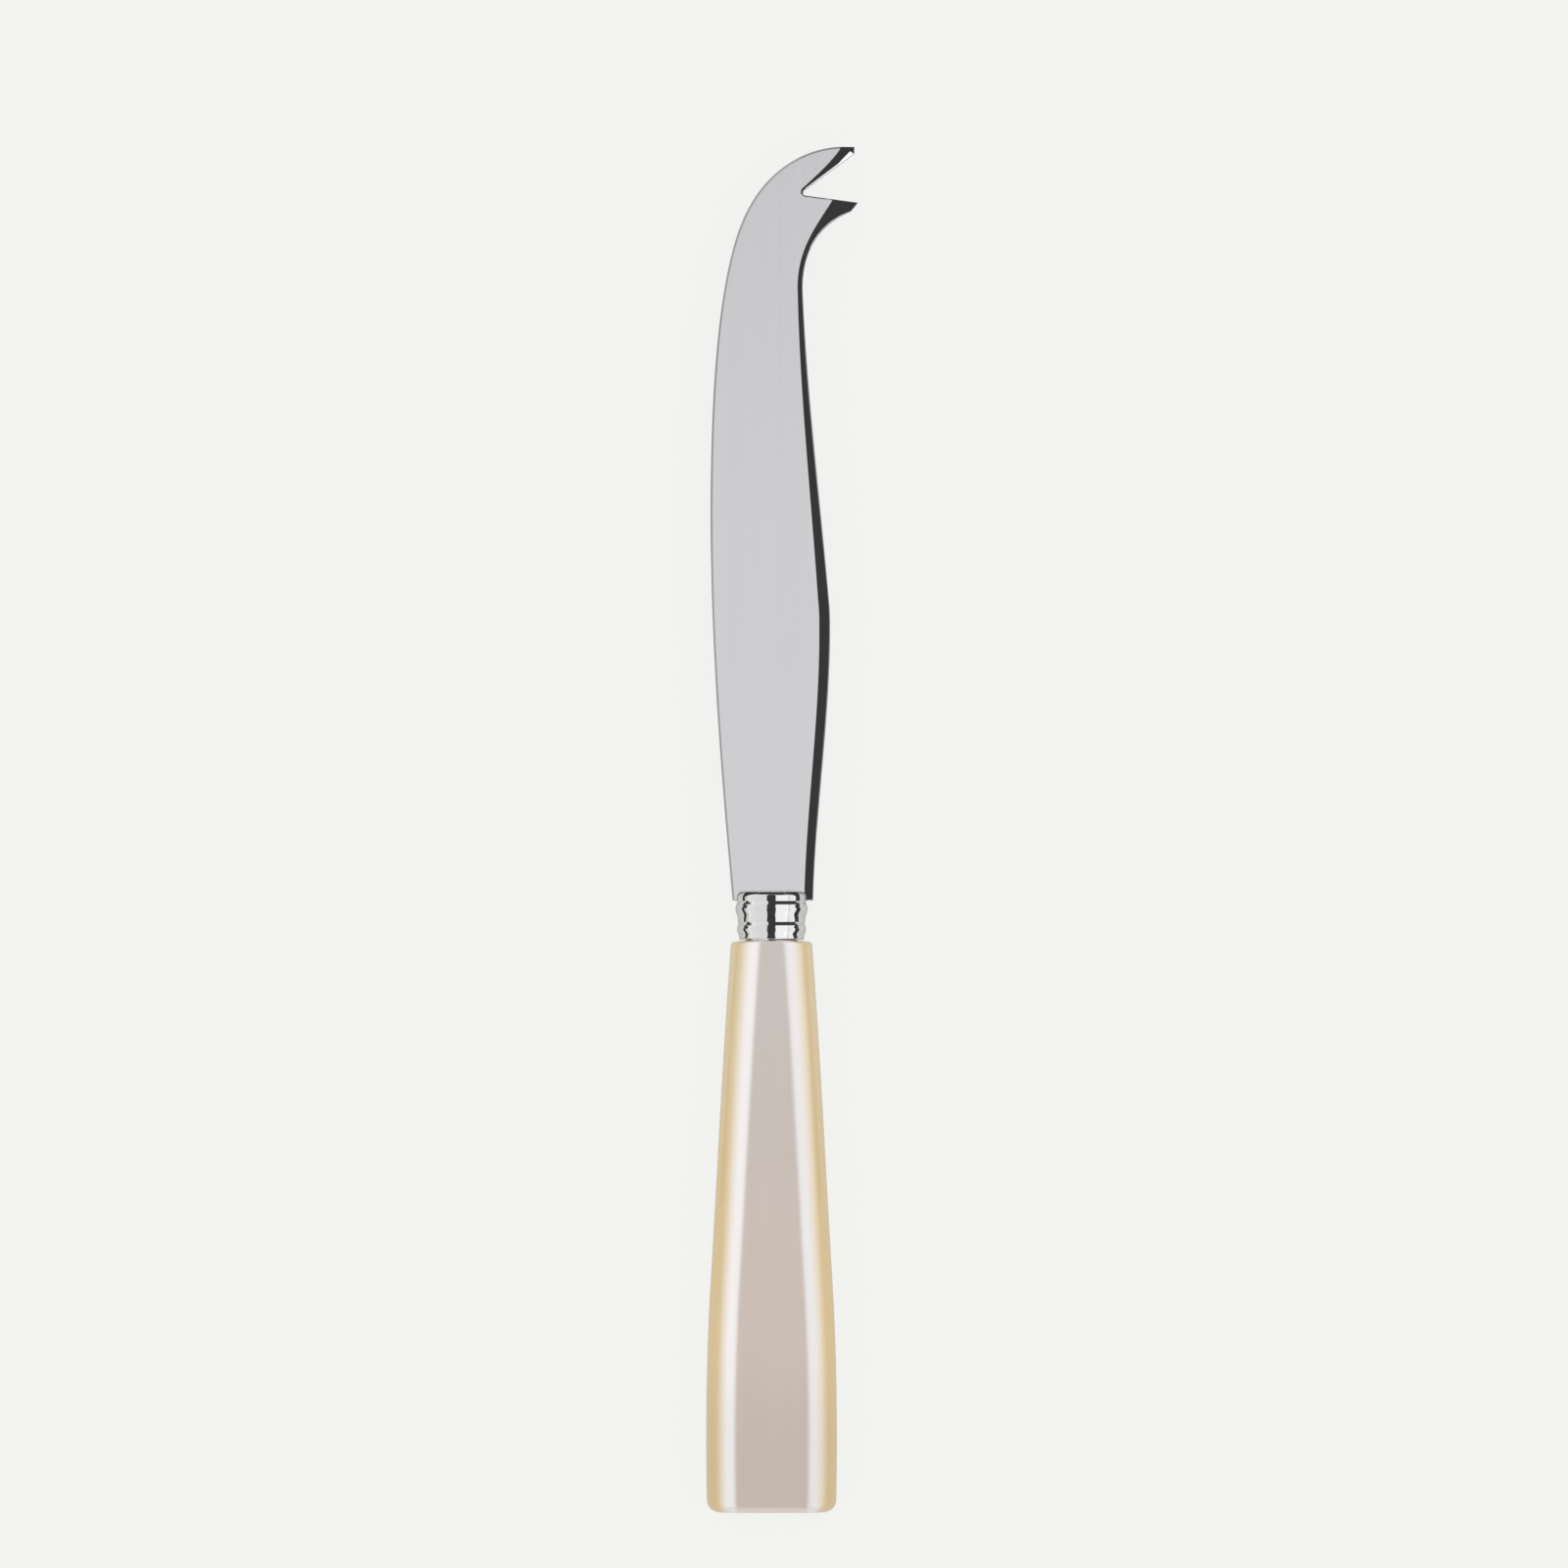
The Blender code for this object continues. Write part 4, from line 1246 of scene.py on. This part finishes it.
@dataclass
class Handle:
    """The pearl handle with its spigot and the tang's pocket."""

    knife: Knife
    textures: Textures
    front_width: float = 14.9 * MM
    hip_width: float = 22.4 * MM
    butt_width: float = 23.7 * MM
    fullness: float = 0.3 * MM
    hip_from_butt: float = 42.0 * MM
    corner_radius: float = 5.9 * MM
    front_edge_radius: float = 0.55 * MM
    front_bulge: float = 0.38 * MM
    bulge_reach: float = 6.0 * MM
    butt_edge_radius: float = 2.2 * MM
    corner_steps: int = 28
    edge_steps: int = 12
    side_steps: int = 40
    spigot_steps: int = 96
    overshoot: float = 1.0 * MM
    sharp: float = 30.0

    def side(self) -> list[Vector]:
        """Return stations along the handle as (distance, half width), butt last."""
        length = self.knife.handle_length
        front = Vector((0.0, self.front_width / 2))
        hip = Vector((self.hip_from_butt - length, self.hip_width / 2))
        butt = Vector((-length, self.butt_width / 2))
        rate = (hip.y - front.y) / hip.x
        third = hip.x / 3
        taper = curve(front, Vector((third, front.y + rate * third + self.fullness)),
                      Vector((2 * third, front.y + rate * 2 * third)), hip, self.side_steps)
        reach = self.hip_from_butt / 3
        end = curve(hip, Vector((hip.x - reach, hip.y - rate * reach)),
                    Vector((reach - length, butt.y + self.fullness)), butt, self.side_steps)
        return taper + end[1:]

    def half_width(self, distance: float, side: list[Vector]) -> float:
        """Return the half width at a distance from the joint."""
        for near, far in zip(side, side[1:]):
            if far.x <= distance <= near.x:
                return blend(near.y, far.y, (near.x - distance) / (near.x - far.x))
        return side[-1].y

    def stations(self) -> Mesh:
        """Return the row of stations that the bar is skinned over."""
        side = self.side()
        front, butt = self.front_edge_radius, self.butt_edge_radius
        last = butt - self.knife.handle_length
        rows: list[tuple[float, float]] = []
        for step in range(self.edge_steps):
            turn = math.pi / 2 * step / self.edge_steps
            rows.append((-front * (1 - math.cos(turn)), front * (1 - math.sin(turn))))
        rows += [(-front, 0.0)] + [(p.x, 0.0) for p in side if last < p.x < -front]
        for step in range(self.edge_steps + 1):
            turn = math.pi / 2 * step / self.edge_steps
            rows.append((last - butt * math.sin(turn), butt * (1 - math.cos(turn))))
        rows = [rows[0]] + rows + [rows[-1]]
        points = [(x, self.half_width(x, side), inset) for x, inset in rows]
        mesh = line_mesh("handle_stations", points)
        is_open = mesh.attributes.new("open", "FLOAT", "POINT")
        is_open.data.foreach_set("value", [0.0] + [1.0] * (len(points) - 2) + [0.0])
        bulge = mesh.attributes.new("bulge", "FLOAT", "POINT")
        bulge.data.foreach_set("value", [self.front_bulge * max(0.0, 1 + p[0] / self.bulge_reach)
                                         for p in points])
        return mesh

    def spigot(self) -> Mesh:
        """Return the round spigot that the ferrule sits on."""
        reach = self.knife.bore_depth - self.knife.tang_clearance + self.overshoot
        bm = bmesh.new()
        bmesh.ops.create_cone(bm, cap_ends=True, segments=self.spigot_steps, depth=reach,
                              radius1=self.knife.spigot_radius, radius2=self.knife.spigot_radius)
        mesh = keep("spigot", bm)
        mesh.transform(Matrix.Translation((reach / 2 - self.overshoot, 0, 0))
                       @ Matrix.Rotation(math.pi / 2, 4, "Y"))
        return mesh

    def build(self) -> Object:
        """Build the handle."""
        material = PearlFinish().make(self.textures)
        mesh = run_tree("pearl_handle", self.stations(), bar_tree(),
                        {"Thickness": self.knife.thickness, "Corner Radius": self.corner_radius,
                         "Corner Steps": self.corner_steps, "Merge Distance": MERGE_DISTANCE,
                         "Finish": material})
        pocket = self.knife.tang("tang_pocket", self.knife.tang_clearance,
                                 self.knife.bore_depth + self.overshoot)
        mesh = cut("pearl_handle", mesh, [("UNION", self.spigot()), ("DIFFERENCE", pocket)])
        return self.knife.mount("pearl_handle", mesh, material, self.sharp, "handle", Slot.HANDLE)


@dataclass(frozen=True)
class Softbox:
    """One flat lamp that is seen only in the piece that it is meant for.

    Its two long edges lie at angles in degrees from straight up, positive towards the
    spine, and then it is turned about the upright. It can fade towards the tip's end.
    """

    name: str
    inner_angle: float
    outer_angle: float
    length: float
    radiance: float
    distance: float = 0.8
    radiance: float
    turn: float = 0.0
    tip_share: float = 1.0
    fade_from: float = 150.0 * MM
    fade_to: float = 240.0 * MM

    def edge(self, angle: float) -> Vector:
        """Return the middle of an edge, seen from the knife at an angle in degrees."""
        lean = math.radians(angle)
        return Vector((0.0, -math.sin(lean), math.cos(lean))) * self.distance

    def fade(self, light: bpy.types.Light) -> None:
        """Let the lamp's strength change towards the tip's end."""
        light.use_nodes = True
        t = Tree(light.node_tree)
        place = t.add("ShaderNodeNewGeometry").outputs["Position"]
        along = t.add("ShaderNodeSeparateXYZ", {0: place}).outputs["X"]
        strength = t.ramp(along, self.fade_from, self.fade_to, 1.0, self.tip_share)
        t.put(strength, light.node_tree.nodes["Emission"].inputs["Strength"])

    def make(self, middle: Vector, piece: Object) -> Object:
        """Hang the lamp.

        Args:
            middle: the point of the knife that it faces.
            piece: the piece that it lights.

        Returns:
            The lamp.
        """
        inner, outer = self.edge(self.inner_angle), self.edge(self.outer_angle)
        light = bpy.data.lights.new(self.name, "AREA")
        light.shape = "RECTANGLE"
        light.size = self.length
        light.size_y = (outer - inner).length
        light.energy = self.radiance * math.pi * light.size * light.size_y
        lamp = add_object(self.name, light)
        across = (outer - inner).normalized()
        along = Vector((1, 0, 0))
        facing = along.cross(across)
        if facing.dot(inner + outer) < 0:
            across, facing = -across, -facing
        if self.tip_share != 1.0:
            self.fade(light)
        turn = Matrix.Rotation(math.radians(self.turn), 4, "Z")
        lamp.matrix_world = (Matrix.Translation(middle) @ turn
                             @ Matrix.Translation((inner + outer) / 2)
                             @ Matrix((along, across, facing)).transposed().to_4x4())
        lamp.visible_camera = False
        lamp.visible_diffuse = False
        receivers = bpy.data.collections.new(self.name + "_shows_in")
        receivers.objects.link(piece)
        lamp.light_linking.receiver_collection = receivers
        LOG.info("%s hung for %s", self.name, piece.name)
        return lamp


@dataclass(frozen=True)
class Flag:
    """A black strip on the floor that only mirrors see, with its far edge turned up.

    It runs along the knife from start to end, both measured from the joint, and lies
    from near to far beside the axis, positive towards the cutting edge.
    """

    name: str
    near: float
    far: float
    height: float
    start: float
    end: float

    def make(self, joint: float, material: Material) -> Object:
        """Lay the strip.

        Args:
            joint: where the joint lies along the knife.
            material: its black.

        Returns:
            The strip.
        """
        section = [(self.near, 0.0), (self.far, 0.0), (self.far, self.height)]
        mesh = bpy.data.meshes.new(self.name)
        mesh.from_pydata([(joint + x, y, z) for x in (self.start, self.end) for y, z in section],
                         [], [(0, 1, 4, 3), (1, 2, 5, 4)])
        mesh.materials.append(material)
        flag = add_object(self.name, mesh)
        for ray in ("camera", "diffuse", "transmission", "shadow"):
            setattr(flag, "visible_" + ray, False)
        return flag


@dataclass(frozen=True)
class Room:
    """The room that glossy surfaces mirror: a pale rim round it, and three dark parts.

    A height is 0 at the horizon and 1 straight up. A slant is how far a way goes across
    the knife for each step along it, positive towards the cutting edge.
    """

    dark: float = 0.045
    horizon: float = 0.72
    low: float = 0.42
    high: float = 0.38
    rim_heights: Pair = (0.03, 0.22)
    high_heights: Pair = (0.42, 0.6)
    gap_angle: float = 15.5
    gap_softness: float = 0.03
    gap_heights: Pair = (0.49, 0.51)
    arch_top: float = 0.559
    arch_fall: float = 0.441
    arch_reach: Pair = (0.11, 0.08)
    arch_spine_slants: Pair = (-1.32, -1.22)
    arch_edge_slants: Pair = (0.14, 0.10)
    front_reach: Pair = (0.0, 0.05)
    front_slants: Pair = (0.62, 0.5)
    front_heights: Pair = (0.31, 0.26)
    least_height: float = 0.05
    least_along: float = 0.001

    def gap(self, t: Tree, across: Socket, height: Socket) -> Socket:
        """Return the dark part overhead and on the spine's side, which makes the dark stripe."""
        lean = t.math("DIVIDE", across, t.math("MAXIMUM", height, self.least_height))
        limit = math.tan(math.radians(self.gap_angle))
        edge = t.ramp(lean, limit * (1 + self.gap_softness), limit * (1 - self.gap_softness))
        return t.times(t.ramp(height, *self.gap_heights), edge)

    def arch(self, t: Tree, slant: Socket, height: Socket) -> Socket:
        """Return the dark arch that shows as lines in the ferrule's grooves."""
        arch = t.math("SUBTRACT", self.arch_top, t.times(slant, slant, self.arch_fall))
        beside = t.math("ABSOLUTE", t.math("SUBTRACT", height, arch))
        return t.times(t.ramp(slant, *self.arch_spine_slants),
                       t.ramp(slant, *self.arch_edge_slants), t.ramp(beside, *self.arch_reach))

    def front(self, t: Tree, along: Socket, slant: Socket, height: Socket) -> Socket:
        """Return the low dark part beyond the tip, which outlines the ferrule's cap."""
        beside = t.ramp(t.math("ABSOLUTE", slant), *self.front_slants)
        return t.times(t.ramp(along, *self.front_reach), beside,
                       t.ramp(height, *self.front_heights))

    def level(self, t: Tree) -> Socket:
        """Return how bright the room is.

        Args:
            t: the world's tree.

        Returns:
            The room's strength in each direction.
        """
        along, across, height = t.parts(t.coordinate("Generated"))
        bright = t.math("ADD", t.ramp(height, *self.rim_heights, self.horizon, self.low),
                        t.ramp(height, *self.high_heights, 0.0, self.high - self.low))
        flat = t.math("MAXIMUM", t.math("ABSOLUTE", along), self.least_along)
        slant = t.math("DIVIDE", across, flat)
        shade = self.gap(t, across, height)
        for part in (self.arch(t, slant, height), self.front(t, along, slant, height)):
            shade = t.math("MAXIMUM", shade, part)
        return t.math("MAXIMUM", t.times(bright, t.math("SUBTRACT", 1.0, shade)), self.dark)


@dataclass
class Studio:
    """The pale floor, the soft light and the camera straight above the knife."""

    knife: Knife
    backdrop: Colour = (0.902, 0.902, 0.886)
    white: Colour = (1.0, 1.0, 1.0)
    black: Colour = (0.05, 0.05, 0.05)
    floor_size: float = 12.0
    floor_drop: float = 0.1 * MM
    shadow_share: float = 0.07
    mirrored_level: float = 0.8
    daylight: float = 0.99
    image_pixels: int = 1600
    pixel: float = 0.18 * MM
    joint_row: float = 961.5
    axis_column: float = 787.3
    camera_height: float = 3.0
    sensor: float = 36.0

    def floor(self) -> Object:
        """Lay the floor, which shows a faint shadow and nothing of itself from below."""
        material, t, _ = new_material("pale_floor", self.backdrop)
        t.tree.nodes.clear()
        path = t.add("ShaderNodeLightPath").outputs
        mirrored = t.math("MAXIMUM", path["Is Glossy Ray"], path["Is Transmission Ray"])
        share = t.math("MAXIMUM", t.times(path["Is Camera Ray"], 1.0 - self.shadow_share),
                       t.times(mirrored, 1.0 - self.mirrored_level))
        colour = rgba(self.backdrop)
        paper = t.add("ShaderNodeBsdfDiffuse", {"Color": colour}).outputs[0]
        glow = t.add("ShaderNodeEmission",
                     {"Color": colour, "Strength": path["Is Camera Ray"]}).outputs[0]
        top = t.add("ShaderNodeMixShader", {0: share, 1: paper, 2: glow}).outputs[0]
        clear = t.add("ShaderNodeBsdfTransparent").outputs[0]
        back = t.add("ShaderNodeNewGeometry").outputs["Backfacing"]
        both = t.add("ShaderNodeMixShader", {0: back, 1: top, 2: clear}).outputs[0]
        t.add("ShaderNodeOutputMaterial", {"Surface": both})
        bm = bmesh.new()
        bmesh.ops.create_grid(bm, x_segments=2, y_segments=2, size=self.floor_size / 2)
        mesh = keep("floor", bm)
        mesh.transform(Matrix.Translation((0, 0, -self.floor_drop)))
        mesh.materials.append(material)
        floor = add_object("floor", mesh)
        return floor

    def sky(self) -> None:
        """Make the world: even daylight on matt surfaces, and the room in glossy ones."""
        world = bpy.data.worlds.new("studio")
        bpy.context.scene.world = world
        world.use_nodes = True
        t = Tree(world.node_tree)
        t.tree.nodes.clear()
        path = t.add("ShaderNodeLightPath").outputs
        room, light, wall = (
            t.add("ShaderNodeBackground", {"Color": rgba(colour), "Strength": strength}).outputs[0]
            for colour, strength in ((self.white, Room().level(t)), (self.white, self.daylight),
                                     (self.backdrop, 1.0)))
        glossy = t.add("ShaderNodeMixShader", {0: path["Is Glossy Ray"], 1: light, 2: room})
        seen = t.math("MAXIMUM", path["Is Camera Ray"], path["Is Transmission Ray"])
        both = t.add("ShaderNodeMixShader", {0: seen, 1: glossy.outputs[0], 2: wall})
        t.add("ShaderNodeOutputWorld", {"Surface": both.outputs[0]})

    def flags(self) -> None:
        """Lay the black strips that draw the dark outlines in the ferrule."""
        material, _, shader = new_material("black_flag", self.black)
        shader.inputs["Base Color"].default_value = rgba(self.black)
        shader.inputs["Specular IOR Level"].default_value = 0.0
        beside = (-47.0 * MM, 60.0 * MM)
        ahead = (20.0 * MM, 1100.0 * MM)
        for flag in (Flag("left_flag", 34.0 * MM, 56.0 * MM, 4.5 * MM, *beside),
                     Flag("right_flag", -42.0 * MM, -58.0 * MM, 14.5 * MM, *beside),
                     Flag("left_front_flag", 12.0 * MM, 500.0 * MM, 0.0, *ahead),
                     Flag("right_front_flag", -12.0 * MM, -500.0 * MM, 0.0, *ahead)):
            flag.make(self.knife.place().translation.x, material)

    def lamps(self, blade: Object, ferrule: Object,
              handle: Object) -> None:
        """Hang the softboxes."""
        level = self.knife.thickness / 2
        middle = Vector(((CAD_BOX[0].x + CAD_BOX[1].x) / 2, 0.0, level))
        fork = Vector((CAD_BOX[1].x, 0.0, level))
        for lamp, place, piece in (
                (Softbox("overhead", -22.0, 5.0, 0.5, 0.732, 1.2, tip_share=0.945), middle, blade),
                (Softbox("prong_card", 54.0, 72.0, 0.46, 1.1, turn=-44.5), fork, blade),
                (Softbox("left_window", -15.5, -85.0, 2.4, 0.46), middle, ferrule),
                (Softbox("right_window", 14.0, 58.5, 1.5, 1.04), middle, ferrule),
                (Softbox("right_window_foot", 60.0, 84.0, 1.3, 0.58), middle, ferrule),
                (Softbox("left_sheen", -11.0, -80.0, 2.4, 0.61), middle, handle),
                (Softbox("right_sheen", 17.0, 84.0, 2.4, 0.77), middle, handle)):
            lamp.make(place, piece)

    def camera(self) -> None:
        """Set the camera over the photograph's middle, with the blade pointing up in the view."""
        joint = self.knife.place().translation
        centre = self.image_pixels / 2
        width = self.image_pixels * self.pixel
        data = bpy.data.cameras.new("camera")
        data.sensor_width = self.sensor
        data.lens = self.sensor * self.camera_height / width
        camera = add_object("camera", data)
        axes = Matrix((Vector((0, -1, 0)), Vector((1, 0, 0)), Vector((0, 0, 1))))
        camera.matrix_world = Matrix.Translation((
            joint.x + (self.joint_row - centre) * self.pixel,
            joint.y + (self.axis_column - centre) * self.pixel,
            joint.z + self.camera_height)) @ axes.transposed().to_4x4()
        bpy.context.scene.camera = camera

    def build(self, blade: Object, ferrule: Object,
              handle: Object) -> None:
        """Set up the whole studio round the knife's three pieces."""
        bpy.context.scene.view_settings.view_transform = "Standard"
        self.floor()
        self.sky()
        self.flags()
        self.lamps(blade, ferrule, handle)
        self.camera()


def main() -> None:
    """Build the knife's pieces in order, then the studio."""
    logging.basicConfig(level=logging.INFO, format="%(name)s: %(message)s")
    knife = Knife()
    textures = Textures()
    blade = Blade(knife, textures).build()
    ferrule = Ferrule(knife, textures).build()
    handle = Handle(knife, textures).build()
    Studio(knife).build(blade, ferrule, handle)


if __name__ == "__main__":
    main()
